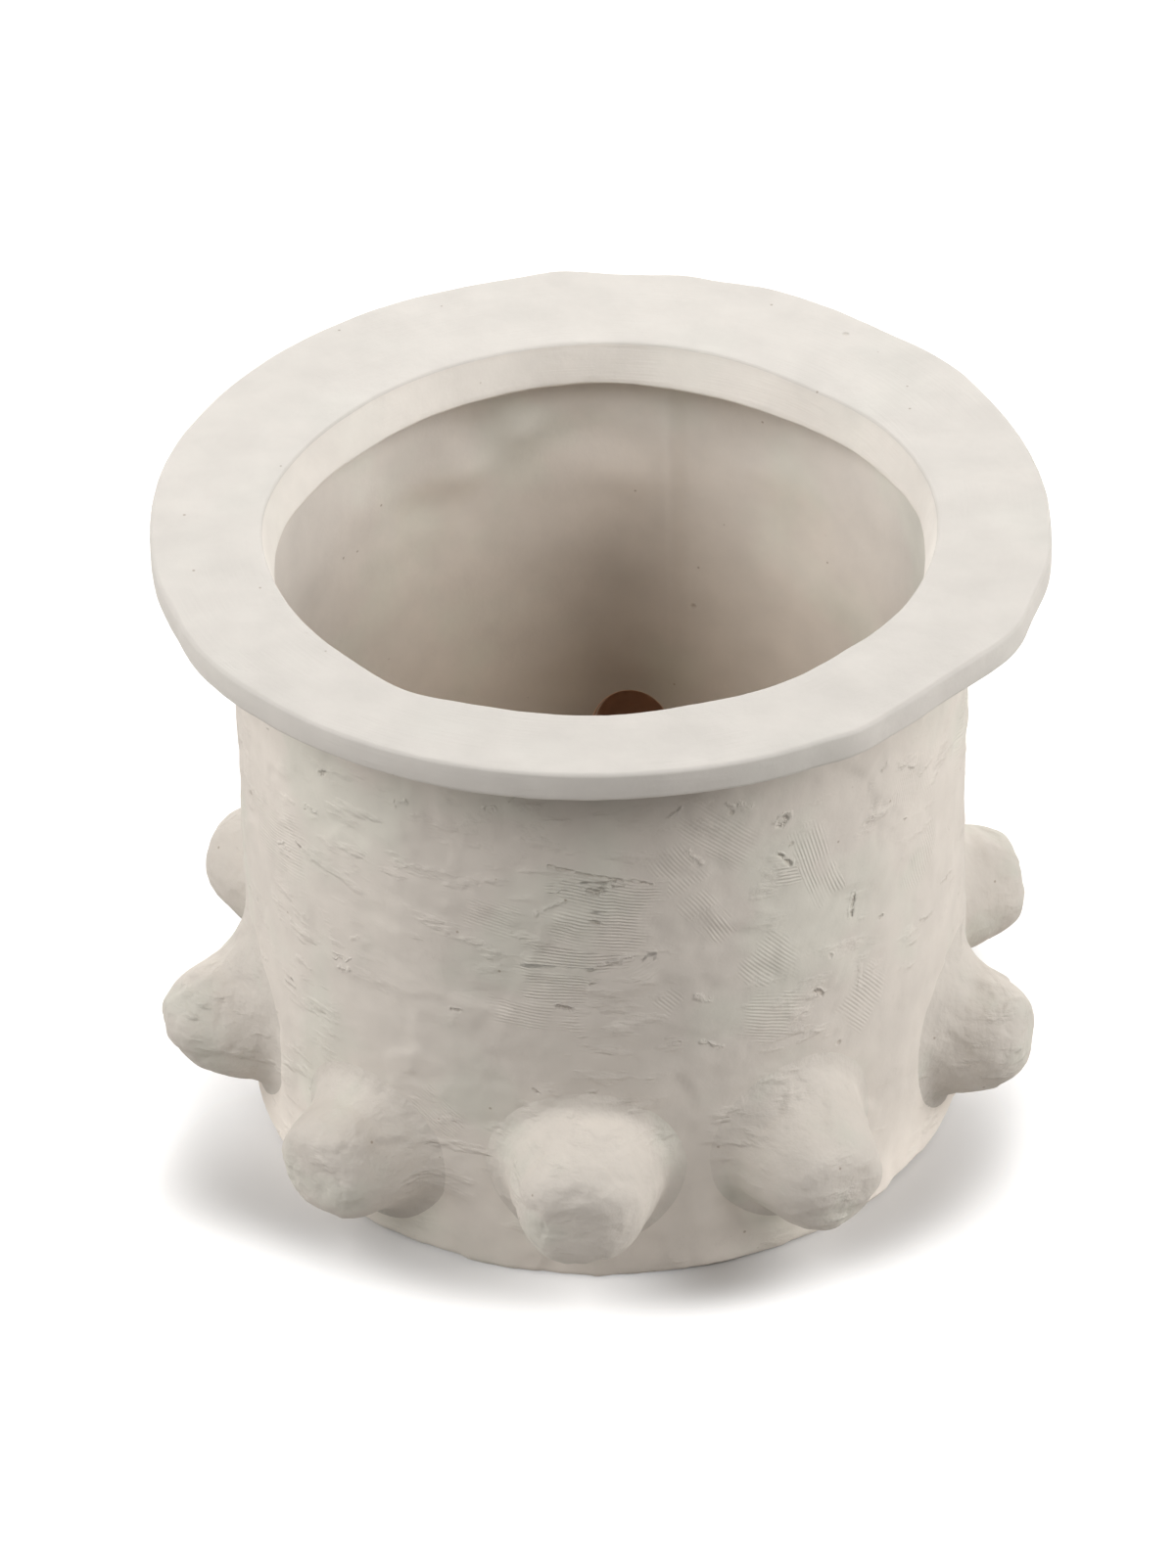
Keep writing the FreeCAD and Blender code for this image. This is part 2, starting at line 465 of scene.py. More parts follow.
def degrees_past(turn: Array, middle: float) -> Array:
    """How far turns in radians lie past a middle in degrees, from -180 to 180."""
    return (np.degrees(turn) - middle + 180) % 360 - 180


class Layer(Enum):
    """Two layers of comb marks, so that patches may overlap."""

    UNDER = "comb_under"
    OVER = "comb_over"


class WallMark:
    """A leaning mark on the wall: its middle in degrees and metres, its lean in radians."""

    turn: float
    height: float
    lean: float

    def distances(self, turn: Array, height: Numbers,
                  radius: Numbers) -> tuple[Array, Array]:
        """Distances from the mark's middle.

        Args:
            turn: the turn of each place, in radians.
            height: the height of each place.
            radius: the wall's radius there.

        Returns:
            The distances along the mark's line and across it.
        """
        arc = np.radians(degrees_past(turn, self.turn)) * radius
        rise = height - self.height
        cos, sin = math.cos(self.lean), math.sin(self.lean)
        return arc * cos + rise * sin, rise * cos - arc * sin


@dataclass(frozen=True)
class CombPatch(WallMark):
    """A patch that the comb left, and how hard it was pressed."""

    turn: float
    height: float
    half_along: float
    half_across: float
    lean: float
    press: float = 1.0
    layer: Layer = Layer.UNDER

    def local(self, *places: Numbers) -> tuple[Array, Array]:
        """Distances across the lines, and how far out of the patch each place is."""
        along, across = self.distances(*places)
        return across, np.maximum(np.abs(along) / self.half_along,
                                  np.abs(across) / self.half_across)


@dataclass(frozen=True)
class Stroke(WallMark):
    """A gouge, or a ridge where its depth is negative."""

    turn: float
    height: float
    length: float
    lean: float
    width: float
    depth: float

    def local(self, *places: Numbers) -> tuple[Array, Array]:
        """Distances past the stroke's ends and off its line, in widths."""
        along, across = self.distances(*places)
        return (np.abs(along) - self.length / 2) / self.width, across / self.width


@dataclass(frozen=True)
class Dab(WallMark):
    """A soft rise or hollow on the wall."""

    turn: float
    height: float
    half_arc: float
    half_height: float
    depth: float
    lean: float = 0.0

    def at(self, *places: Numbers) -> Array:
        """Its depth at each place."""
        along, across = self.distances(*places)
        return self.depth * bell(along, self.half_arc) * bell(across, self.half_height)


COMB_PATCHES = tuple(CombPatch(*row) for row in (
    (-0.8, 0.165, 0.0195, 0.0155, -0.14, 2.2, Layer.OVER),
    (-4.5, 0.147, 0.017, 0.006, 0.0, 2.5),
    (-8.5, 0.131, 0.012, 0.0085, 0.0, 2.1),
    (-11.0, 0.119, 0.017, 0.006, -0.05, 1.1, Layer.OVER),
    (-18.0, 0.161, 0.01, 0.008, -0.25, 0.9),
    (10.0, 0.182, 0.01, 0.008, -1.0, 0.9),
    (17.0, 0.193, 0.016, 0.008, -0.75, 0.55, Layer.OVER),
    (14.8, 0.161, 0.01, 0.007, -0.95, 0.6),
    (16.5, 0.155, 0.008, 0.0045, -1.0, 1.1, Layer.OVER),
    (33.8, 0.168, 0.018, 0.0068, -1.25, 1.4, Layer.OVER),
    (28.8, 0.168, 0.006, 0.004, -0.2, 1.4),
    (25.3, 0.133, 0.011, 0.011, -0.85, 0.7),
    (25.3, 0.109, 0.011, 0.011, -0.38, 0.85, Layer.OVER),
    (9.3, 0.125, 0.004, 0.005, -0.8, 0.7),
    (5.5, 0.139, 0.006, 0.005, 0.5, 0.5, Layer.OVER),
    (56.0, 0.178, 0.01, 0.014, 1.3),
    (58.0, 0.14, 0.009, 0.012, -1.25),
    (43.5, 0.098, 0.01, 0.011, -0.85),
    (-27.0, 0.066, 0.011, 0.009, -0.6),
    (-62.0, 0.15, 0.02, 0.013, 0.2),
    (78.0, 0.165, 0.018, 0.015, -0.4),
    (100.0, 0.11, 0.017, 0.014, 0.5),
    (128.0, 0.17, 0.022, 0.012, -0.2),
    (158.0, 0.14, 0.018, 0.015, 0.9),
    (-100.0, 0.17, 0.02, 0.014, -0.5),
    (-132.0, 0.13, 0.021, 0.013, 0.3),
    (-160.0, 0.18, 0.018, 0.013, -0.9),
))
STROKES = tuple(Stroke(*row) for row in (
    (-1.0, 0.1805, 0.036, -0.21, 0.0006, 0.0006),
    (-1.7, 0.174, 0.004, 0.2, 0.0014, 0.0013),
    (-1.8, 0.161, 0.002, -0.3, 0.001, 0.0009),
    (-6.8, 0.123, 0.004, -0.4, 0.0009, 0.001),
    (0.6, 0.144, 0.017, 0.33, 0.0012, -0.0007),
    (27.5, 0.192, 0.002, 0.0, 0.0015, 0.0012),
    (27.9, 0.175, 0.007, -0.9, 0.0008, 0.0008),
    (40.9, 0.142, 0.009, 1.4, 0.0008, 0.001),
    (33.8, 0.111, 0.004, -0.7, 0.0011, 0.0009),
    (-17.4, 0.206, 0.001, 0.0, 0.001, 0.0009),
    (-54.7, 0.206, 0.003, 0.3, 0.0011, 0.0008),
    (-47.6, 0.196, 0.003, 0.6, 0.001, 0.0007),
))


def spread_strokes(count: int, seed: int) -> tuple[Stroke, ...]:
    """Small strokes and pits scattered round the whole wall.

    Args:
        count: how many there are.
        seed: which scatter is drawn.

    Returns:
        The strokes.
    """
    draw = random.Random(seed)
    strokes = []
    for _ in range(count):
        turn, height = draw.uniform(-180, 180), draw.uniform(0.03, 0.225)
        if draw.random() < RIDGE_SHARE:
            strokes.append(Stroke(turn, height, draw.uniform(0.002, 0.012),
                                  draw.gauss(0.1, 0.5), draw.uniform(0.0005, 0.0013),
                                  -draw.uniform(0.0002, 0.0006)))
        else:
            strokes.append(Stroke(turn, height, draw.uniform(0.0, 0.003),
                                  draw.uniform(-1.2, 1.2), draw.uniform(0.0004, 0.0007),
                                  draw.uniform(0.0003, 0.0007)))
    return tuple(strokes)


@dataclass(frozen=True)
class Shade:
    """A place of painted light or painted shade on both sides of a middle turn, in degrees and
    metres.
    """

    aside: float
    half_turn: float
    height: float
    half_height: float
    strength: float
    goes_down: bool = False

    def at(self, past: Array, height: Array) -> Array:
        """How much it adds.

        Args:
            past: degrees of each place past the middle turn.
            height: the height of each place.

        Returns:
            The change of brightness.
        """
        level = (ramp(height, self.height, self.height - self.half_height) if self.goes_down
                 else bell(height - self.height, self.half_height))
        return self.strength * bell(np.abs(past) - self.aside, self.half_turn) * level


@dataclass(frozen=True)
class MarkSheet:
    """Where the comb and the tools touched the wall, and the painted light and shade on it."""

    patches: tuple[CombPatch, ...] = COMB_PATCHES
    strokes: tuple[Stroke, ...] = STROKES + spread_strokes(160, 5)
    wall_skin: float = 0.004
    far: float = 9.0
    patch_reach: float = 2.5
    stroke_reach: tuple[float, float] = (6.0, 4.0)
    painted_shading_heights: tuple[float, float] = (0.09, 0.205)
    deep_turn: float = 176.0
    deep_half_turn: float = 18.0
    deep_power: float = 0.6
    # Painted shade inside, from these turns past the back onwards.
    side_turns: tuple[float, float] = (55.0, 67.0)
    side_painted_shade: float = 0.14
    brightest: float = 1.3
    # Colour multipliers: painted shade low down, painted light high up, the deepest painted shade
    # at the back.
    painted_shading_levels: tuple[Colour, ...] = (
        (0.92, 0.885, 0.85), (1.19, 1.21, 1.24), (0.68, 0.62, 0.57))
    # Painted light on the flanks of the back, painted shade low in its middle, a painted light
    # patch above.
    inner_shades: tuple[Shade, ...] = (
        Shade(36.0, 17.0, 0.205, 0.045, 0.24, True), Shade(0.0, 11.0, 0.168, 0.03, -0.22, True),
        Shade(0.0, 32.0, 0.187, 0.016, 0.13))
    # Painted light at the foot and on the sides of the outside.
    outer_shades: tuple[Shade, ...] = (
        Shade(0.0, math.inf, 0.0, 0.03, 0.34), Shade(60.0, 22.0, 0.0, math.inf, 0.08))
    # Painted shadow under the front of the lip: its half width in turn, its reach down and its
    # strength.
    lip_half_turn: float = 19.0
    lip_reach: float = 0.022
    lip_painted_shade: float = -0.62

    def store(self, mesh: Mesh, radius: float) -> None:
        """Writes the painted light and shade, both layers of comb marks and the strokes as
        attributes.

        Args:
            mesh: the wall's mesh.
            radius: the wall's radius outside.
        """
        places = mesh_places(mesh)
        turn = turns_of(places)
        outside = radii_of(places) > radius - self.wall_skin
        tone = np.where(outside[:, None], self.outer_painted_shading(turn, places[:, 2])[:, None],
                        self.inner_painted_shading(turn, places[:, 2]))
        write_vectors(mesh, "tone", tone)
        height = np.where(outside, places[:, 2], -1.0)
        for layer in Layer:
            sheet = np.zeros((len(turn), 3))
            sheet[:, 1], sheet[:, 2] = self.far, outside
            for patch in self.patches:
                if patch.layer is layer:
                    across, reach = patch.local(turn, height, radius)
                    nearest = (reach < self.patch_reach) & (reach < sheet[:, 1])
                    press = np.full_like(reach, patch.press)
                    sheet[nearest] = np.column_stack([across, reach, press])[nearest]
            write_vectors(mesh, layer.value, sheet)
        sheet = np.zeros((len(turn), 3))
        gap = np.full(len(turn), self.far)
        for stroke in self.strokes:
            past, off = stroke.local(turn, height, radius)
            distance = np.hypot(np.maximum(past, 0), off)
            depth = stroke.depth * ramp(distance, *self.stroke_reach)
            nearest = distance < gap
            gap[nearest] = distance[nearest]
            sheet[nearest] = np.column_stack([past, off, depth])[nearest]
        write_vectors(mesh, "strokes", sheet)

    def inner_painted_shading(self, turn: Array, height: Array) -> Array:
        """Painted light and shade inside: painted shade low down and deepest at the back, painted
        light higher up.

        Args:
            turn: the turn of each place.
            height: the height of each place.

        Returns:
            One row of red, green and blue for each place.
        """
        up = ramp(height, *self.painted_shading_heights)
        past = degrees_past(turn, self.deep_turn)
        deep = bell(past, self.deep_half_turn) * (1 - up) ** self.deep_power
        uneven = 1 + sum(shade.at(past, height) for shade in self.inner_shades)
        uneven = uneven - self.side_painted_shade * ramp(np.abs(past), *self.side_turns)
        low, high, deepest = np.array(self.painted_shading_levels)
        inner = (low + (high - low) * up[:, None]) * (1 + (deepest - 1) * deep[:, None])
        return np.minimum(inner * uneven[:, None], self.brightest)

    def outer_painted_shading(self, turn: Array, height: Array) -> Array:
        """Painted light and shade outside: painted light at the foot and on the sides, painted
        shadow under the front of the lip.

        Args:
            turn: the turn of each place.
            height: the height of each place.

        Returns:
            One number for each place.
        """
        lip = Shade(0.0, self.lip_half_turn, height.max(), self.lip_reach, self.lip_painted_shade)
        return 1 + sum(shade.at(np.degrees(turn), height) for shade in (*self.outer_shades, lip))


@dataclass(frozen=True)
class ClayFinish:
    """An unglazed clay finish and how rough a hand worked it."""

    name: str
    warm: Colour
    cool: Colour
    roughness: float = 0.86
    shine: float = 0.25
    patch_size: float = 0.05
    grain_depth: float = 0.00003
    dab_depth: float = 0.00020
    pit_depth: float = 0.0004
    pit_share: float = 0.08
    inner_pit_share: float = 0.02
    pit_shade: float = 0.3
    speck_share: float = 0.03
    flake_depth: float = 0.0003
    wiping_depth: float = 0.0
    comb_depth: float = 0.0

    def build(self, parts: ShaderParts, wall_radius: float) -> Material:
        """Makes the material.

        Args:
            parts: the shared node groups.
            wall_radius: the radius at which arcs along the wall are measured.

        Returns:
            The new material.
        """
        material = bpy.data.materials.new(self.name)
        material.use_nodes = True
        graph = Graph(material.node_tree)
        place = graph.get("ShaderNodeTexCoord", {}, "Object")
        colour, = graph.shared(parts.tint, 1, place, (*self.warm, 1.0), (*self.cool, 1.0),
                               self.patch_size, self.speck_share)
        smears, pit_share = self.flake_depth, self.pit_share
        if self.comb_depth:
            outside = graph.calc("MINIMUM", graph.split(graph.stored(Layer.UNDER.value))[2], 1.0)
            smears = outside * smears
            pit_share = graph.remap(outside, 0.0, 1.0, self.inner_pit_share, pit_share)
        height, pits = graph.shared(parts.grain, 2, place, self.grain_depth, self.dab_depth,
                                    smears, self.pit_depth, pit_share)
        # Painted shade in the pits: the clay colour is darkened there.
        colour = graph.mix(pits * self.pit_shade, colour, graph.tinted(colour, PIT_PAINTED_SHADE))
        if self.wiping_depth:
            height = height + graph.shared(parts.wiping, 1, place, self.wiping_depth)[0]
        if self.comb_depth:
            wrapped = graph.wrap(place, wall_radius)
            sheets = [graph.stored(layer.value) for layer in Layer]
            comb, = graph.shared(parts.comb, 1, *sheets, wrapped, self.comb_depth)
            strokes, gouged = graph.shared(parts.scratch, 2, graph.stored("strokes"), wrapped)
            height = height + comb + strokes
            # Painted shade inside the gouges: the clay colour is darkened there.
            colour = graph.mix(gouged * STROKE_SHADE, colour, graph.tinted(colour, STROKE_PAINTED_SHADE))
        if self.wiping_depth or self.comb_depth:
            # Painted light and shade: stored levels that lighten or darken the clay colour.
            colour = graph.tinted(colour, graph.stored("tone"))
        normal = graph.get("ShaderNodeBump", {"Height": height, "Distance": 1.0, "Strength": 1.0})
        graph.wire(material.node_tree.nodes["Principled BSDF"], {
            "Base Color": colour, "Normal": normal, "Roughness": self.roughness,
            "Specular IOR Level": self.shine})
        return material


WARM_CLAY = (0.718, 0.659, 0.592)
COOL_CLAY = (0.704, 0.669, 0.592)
WALL_FINISH = ClayFinish("combed_clay", WARM_CLAY, COOL_CLAY, comb_depth=0.00012,
                         pit_share=0.1, flake_depth=0.0006)
KNOB_FINISH = ClayFinish("patted_clay", (0.69, 0.635, 0.57), (0.677, 0.644, 0.57),
                         dab_depth=0.0009, pit_share=0.1, pit_depth=0.0011, pit_shade=0.6,
                         patch_size=0.03, flake_depth=0.0009)
RIM_FINISH = ClayFinish("sponged_clay", (0.74, 0.698, 0.644), (0.736, 0.7, 0.644),
                        dab_depth=0.00018, pit_share=0.03, speck_share=0.02,
                        flake_depth=0.0001, wiping_depth=0.00012)
FLOOR_FINISH = ClayFinish("rolled_clay", WARM_CLAY, COOL_CLAY, pit_share=0.03)
HOLLOW_FINISH = ClayFinish("bare_red_clay", (0.6, 0.39, 0.27), (0.56, 0.37, 0.26),
                           flake_depth=0.0001)


def write_vectors(mesh: Mesh, name: str, sheet: Array) -> None:
    """Stores one vector for each vertex."""
    attribute = mesh.attributes.new(name, "FLOAT_VECTOR", "POINT")
    attribute.data.foreach_set("vector", sheet.astype(np.float32).ravel())


def mesh_places(mesh: Mesh) -> Array:
    """The vertices of a mesh, one row each."""
    places = np.empty(len(mesh.vertices) * 3)
    mesh.vertices.foreach_get("co", places)
    return places.reshape(-1, 3)


def node_places(frame: dict, node: str) -> Array:
    """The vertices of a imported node, one row each."""
    return mesh_places(frame["nodes"][node].data)


def radii_of(places: Array, setting: float = 0.0) -> Array:
    """Distances from an upright axis that sits a little towards the front."""
    return np.hypot(places[:, 0], places[:, 1] + setting)


def turns_of(places: Array) -> Array:
    """The turn of each place, in radians."""
    return np.arctan2(places[:, 0], -places[:, 1])


def turns_round(count: int) -> Array:
    """Even turns all the way round."""
    return np.linspace(-math.pi, math.pi, count, endpoint=False)


def ring(turn: Array, radius: Numbers, height: Numbers,
         setting: float = 0.0) -> Array:
    """One ring of vertices round an upright axis that sits a little towards the front."""
    return np.stack([np.sin(turn) * radius, -np.cos(turn) * radius - setting,
                     np.broadcast_to(height, turn.shape)], axis=1)


def rounded(turn: Array, radius: Numbers, height: float, edge: float,
            angles: tuple[float, float, int], setting: float = 0.0) -> list[Array]:
    """Rings round an edge: its centre's radius and height, its own radius, its angles."""
    return [ring(turn, radius + edge * across, height + edge * up, setting)
            for across, up in arc(*angles)]


def between(first: Array, last: Array, shares: Iterable[float]) -> list[Array]:
    """Rings at shares of the way from one ring to another."""
    return [first + (last - first) * share for share in shares]


def arc(start: float, end: float, count: int, closed: bool = True) -> list[tuple[float, float]]:
    """Cosine and sine at even angles, given in degrees."""
    angles = np.linspace(start, end, count, endpoint=closed)
    return [(math.cos(math.radians(angle)), math.sin(math.radians(angle))) for angle in angles]


def ring_faces(rows: int, columns: int, closed_rows: bool) -> list[tuple[int, ...]]:
    """Faces between rings of equal length, the rings themselves closed.

    Args:
        rows: how many rings there are.
        columns: how many vertices each ring has.
        closed_rows: also joins the last ring to the first.

    Returns:
        The faces, each of four vertices.
    """
    faces = []
    for row in range(rows if closed_rows else rows - 1):
        here, above = row * columns, (row + 1) % rows * columns
        for column in range(columns):
            beside = (column + 1) % columns
            faces.append((here + column, here + beside, above + beside, above + column))
    return faces


def mesh_object(name: str, places: Array, faces: list[tuple[int, ...]]) -> Piece:
    """A new mesh object at the origin.

    Args:
        name: the piece's name.
        places: one row of x, y and z for each vertex.
        faces: vertex numbers of each face.

    Returns:
        The object, linked into the scene.
    """
    mesh = bpy.data.meshes.new(name)
    mesh.from_pydata(places.tolist(), [], faces)
    mesh.update()
    return linked(name, mesh)


def linked(name: str, data: bpy.types.ID) -> Piece:
    """A new object in the scene."""
    piece = bpy.data.objects.new(name, data)
    bpy.context.scene.collection.objects.link(piece)
    return piece


def smooth_path(points: Outline, steps: int) -> Array:
    """A smooth path through chosen points.

    Args:
        points: the points that it goes through.
        steps: how many steps it takes from each point to the next.

    Returns:
        The path's points, one row each.
    """
    given = np.array(points)
    padded = np.vstack([2 * given[0] - given[1], given, 2 * given[-1] - given[-2]])
    share = np.linspace(0, 1, steps, endpoint=False)[:, None]
    path = []
    for before, start, end, after in zip(padded, padded[1:], padded[2:], padded[3:]):
        path.append(0.5 * (2 * start + (end - before) * share
                           + (2 * before - 5 * start + 4 * end - after) * share ** 2
                           + (3 * start - before - 3 * end + after) * share ** 3))
    return np.vstack([*path, given[-1:]])


@dataclass(frozen=True)
class Bump:
    """A soft bump or dent along a ring, in degrees and metres."""

    turn: float
    half_width: float
    height: float


def bumps(*rows: tuple[float, float, float]) -> tuple[Bump, ...]:
    """Bumps from rows of turn, half width and height."""
    return tuple(Bump(*row) for row in rows)


def wobble(turn: Array, bumps_along: tuple[Bump, ...]) -> Array:
    """The sum of the bumps along a ring."""
    return sum(bump.height * bell(degrees_past(turn, bump.turn), bump.half_width)
               for bump in bumps_along)


class GeometryParts:
    """The geometry node trees, each built once."""

    def __init__(self) -> None:
        """Builds both trees."""
        self.skin = self.make_skin()
        self.knob = self.make_knob()

    def surface(self, graph: Graph) -> tuple[Value, Value]:
        """The place and the normal of each point."""
        return (graph.get("GeometryNodeInputPosition", {}),
                graph.get("GeometryNodeInputNormal", {}))

    def dress(self, graph: Group, skin: Value, place: Value, clay: Value,
              chosen: Value | bool = True) -> Tree:
        """Moves the points, smooths the faces, makes them real and gives them their clay.

        Args:
            graph: the tree's graph.
            skin: the geometry.
            place: where each point goes.
            clay: the material.
            chosen: which faces get it.

        Returns:
            The finished tree.
        """
        moved = graph.get("GeometryNodeSetPosition", {"Geometry": skin, "Position": place})
        smooth = graph.get("GeometryNodeSetShadeSmooth", {"Geometry": moved})
        real = graph.get("GeometryNodeRealizeInstances", {"Geometry": smooth})
        return graph.give(graph.get("GeometryNodeSetMaterial", {
            "Geometry": real, "Selection": chosen, "Material": clay}))

    def make_skin(self) -> Tree:
        """Uneven hand-worked skin: broad lumps and finer ripples along the normal.

        Returns:
            The tree.
        """
        graph = Group("clay_skin", {
            "Geometry": "Geometry", "Lump Depth": 0.0003, "Lump Size": 0.04,
            "Ripple Depth": 0.0001, "Ripple Size": 0.01, "Seed": 0.0, "Facet Depth": 0.0,
            "Facet Size": 0.025, "Radius": 0.133, "Lowest": 0.0, "Highest": 1.0,
            "Clay": "Material"}, {"Geometry": "Geometry"}, "GeometryNodeTree")
        (skin, lump_depth, lump_size, ripple_depth, ripple_size, seed, facet_depth, facet_size,
         radius, lowest, highest, clay) = graph.given
        place, normal = self.surface(graph)
        swell = ((graph.noise(place, lump_size, seed) - 0.5) * 2.0 * lump_depth
                 + (graph.noise(place, ripple_size, seed + 9.0) - 0.5) * 2.0 * ripple_depth)
        x, y, _ = graph.split(place)
        behind = radius - graph.calc("LENGTH", graph.join(x, y))
        scraped = facet_depth * graph.remap(behind, 0.004, 0.008, 1.0, 0.12)
        wrapped = graph.wrap(place, radius)
        for share, depth_share in ((1.0, 1.0), (0.42, 0.45)):
            swell = swell + graph.facets(wrapped, facet_size * share, scraped * depth_share,
                                         seed + share)
        x, y, z = graph.split(place + normal * swell)
        held = graph.calc("MINIMUM", graph.calc("MAXIMUM", z, lowest), highest)
        return self.dress(graph, skin, graph.join(x, y, held), clay)

    def make_knob(self) -> Tree:
        """Lumps and pats a level knob, then sets it on the wall's own surface.

        The level knob lies with x along the wall, y up and z out of the wall.

        Returns:
            The tree.
        """
        graph = Group("knob_on_wall", {
            "Geometry": "Geometry", "Wall": "Object", "Turn": 0.0, "Height": 0.0,
            "Radius": 0.133, "Lean": 0.0, "Slant": 0.0, "Lump Depth": 0.001,
            "Lump Size": 0.02, "Facet Depth": 0.0016, "Facet Size": 0.018, "Seed": 0.0,
            "First Pat": "Vector", "First Depth": 1.0, "Second Pat": "Vector",
            "Second Depth": 1.0, "Clay": "Material"}, {"Geometry": "Geometry"},
            "GeometryNodeTree")
        (knob, wall, turn, height, radius, lean, slant, lump_depth, lump_size, facet_depth,
         facet_size, seed, *pats, clay) = graph.given
        place, normal = self.surface(graph)
        hollow = graph.get("GeometryNodeInputNamedAttribute", {"Name": "hollow"},
                           data_type="FLOAT")
        out_of_wall = graph.split(place)[2]
        free = graph.remap(out_of_wall, 0.001, 0.01) * (1.0 - hollow)
        for size_share, depth_share, shift in ((1.0, 1.0, 0.0), (0.35, 0.3, 5.0)):
            noise = graph.noise(place, lump_size * size_share, seed + shift, 1.0)
            place = place + normal * ((noise - 0.5) * (2.0 * depth_share) * lump_depth * free)
        place = place + normal * (graph.facets(place, facet_size, facet_depth, seed) * free)
        beyond = graph.remap(out_of_wall, 0.006, 0.016) * (1.0 - hollow)
        for pat, depth in zip(pats[::2], pats[1::2]):
            way = graph.calc("NORMALIZE", pat)
            past = graph.calc("DOT_PRODUCT", place, way) - depth
            place = place - way * (graph.calc("SMOOTH_MAX", past, 0.0, 0.007) * beyond)
        across, rise, outward = graph.split(place)
        around = turn + (across + outward * slant) / (1.0 + outward / radius) / radius
        level = graph.join(0.0, 0.0, height + (rise + outward * lean))
        way_out = graph.join(graph.calc("SINE", around), graph.calc("COSINE", around) * -1.0)
        target = graph.get("GeometryNodeObjectInfo", {"Object": wall}, "Geometry")
        is_hit, distance = graph.several("GeometryNodeRaycast", {
            "Target Geometry": target, "Source Position": way_out * RAY_START + level,
            "Ray Direction": way_out * -1.0, "Ray Length": 0.1}, ("Is Hit", "Hit Distance"))
        surface = is_hit * (RAY_START - distance) + radius * (1.0 - is_hit)
        return self.dress(graph, knob, way_out * (surface + outward) + level, clay,
                          graph.calc("LESS_THAN", hollow, 0.5))


def run_tree(piece: Piece, tree: Tree, values: dict[str, object]) -> None:
    """Runs a geometry tree on a piece and keeps the result as its plain mesh.

    Args:
        piece: the object that is changed.
        tree: the geometry node tree.
        values: the tree's inputs by name.
    """
    modifier = piece.modifiers.new(tree.name, "NODES")
    modifier.node_group = tree
    for item in tree.interface.items_tree:
        if item.in_out == "INPUT" and item.name in values:
            modifier[item.identifier] = values[item.name]
    keep_result(piece)


def keep_result(piece: Piece) -> None:
    """Makes what the piece's modifiers give its own plain mesh.

    Args:
        piece: the object that is changed.
    """
    bpy.context.view_layer.update()
    graph = bpy.context.evaluated_depsgraph_get()
    mesh = bpy.data.meshes.new_from_object(piece.evaluated_get(graph), depsgraph=graph)
    mesh.name = piece.name
    piece.modifiers.clear()
    piece.data = mesh


@dataclass(frozen=True)
class Bore:
    """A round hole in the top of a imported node: its radius and how far front it sits."""

    radius: float
    setting: float

    @classmethod
    def of(cls, places: Array, level: float, limit: "Bore") -> "Bore":
        """Reads the bore from the vertices at one level.

        Args:
            places: the node's vertices.
            level: the height at which the bore is read.
            limit: a circle that the bore is inside and the rest of the node outside.

        Returns:
            The bore.
        """
        near = places[np.abs(places[:, 2] - level) < LEVEL_SLACK]
        inner = near[radii_of(near, limit.setting) < limit.radius]
        return cls(np.ptp(inner[:, 0]) / 2, -(inner[:, 1].max() + inner[:, 1].min()) / 2)


OUTER_DABS = tuple(Dab(*row) for row in (
    (-29.0, 0.022, 0.011, 0.009, -0.0032, 0.5),
    (-25.0, 0.012, 0.004, 0.008, 0.0012, 0.3),
    (21.0, 0.031, 0.008, 0.011, -0.0032, -0.3),
    (-30.0, 0.15, 0.018, 0.055, 0.001, 0.25),
    (-12.0, 0.19, 0.03, 0.02, -0.0008),
    (20.0, 0.12, 0.035, 0.03, 0.0008),
    (38.0, 0.18, 0.02, 0.035, -0.0009),
    (2.0, 0.1, 0.04, 0.015, -0.0008),
    (-60.0, 0.11, 0.04, 0.05, 0.0007),
    (95.0, 0.16, 0.03, 0.04, -0.0009),
    (150.0, 0.13, 0.05, 0.03, 0.001),
    (-110.0, 0.18, 0.03, 0.03, -0.001),
    (-150.0, 0.12, 0.035, 0.045, 0.001),
))
INNER_DABS = tuple(Dab(*row) for row in (
    (167.3, 0.17, 0.0028, 0.06, -0.0016),
    (163.8, 0.165, 0.0032, 0.06, 0.0012),
    (-167.0, 0.205, 0.01, 0.008, -0.0024),
    (-158.0, 0.21, 0.01, 0.008, 0.0022),
    (-178.0, 0.2, 0.013, 0.01, 0.0032),
    (175.0, 0.182, 0.012, 0.009, -0.0018),
    (-156.0, 0.19, 0.011, 0.007, -0.0022),
    (-147.0, 0.18, 0.014, 0.009, 0.0022),
    (-132.0, 0.196, 0.012, 0.01, -0.0016),
    (150.0, 0.206, 0.014, 0.009, 0.0016),
    (-172.0, 0.15, 0.02, 0.012, -0.001),
    (142.0, 0.15, 0.02, 0.016, -0.0012),
    (120.0, 0.185, 0.02, 0.012, 0.001),
    (-118.0, 0.18, 0.022, 0.012, -0.001),
))


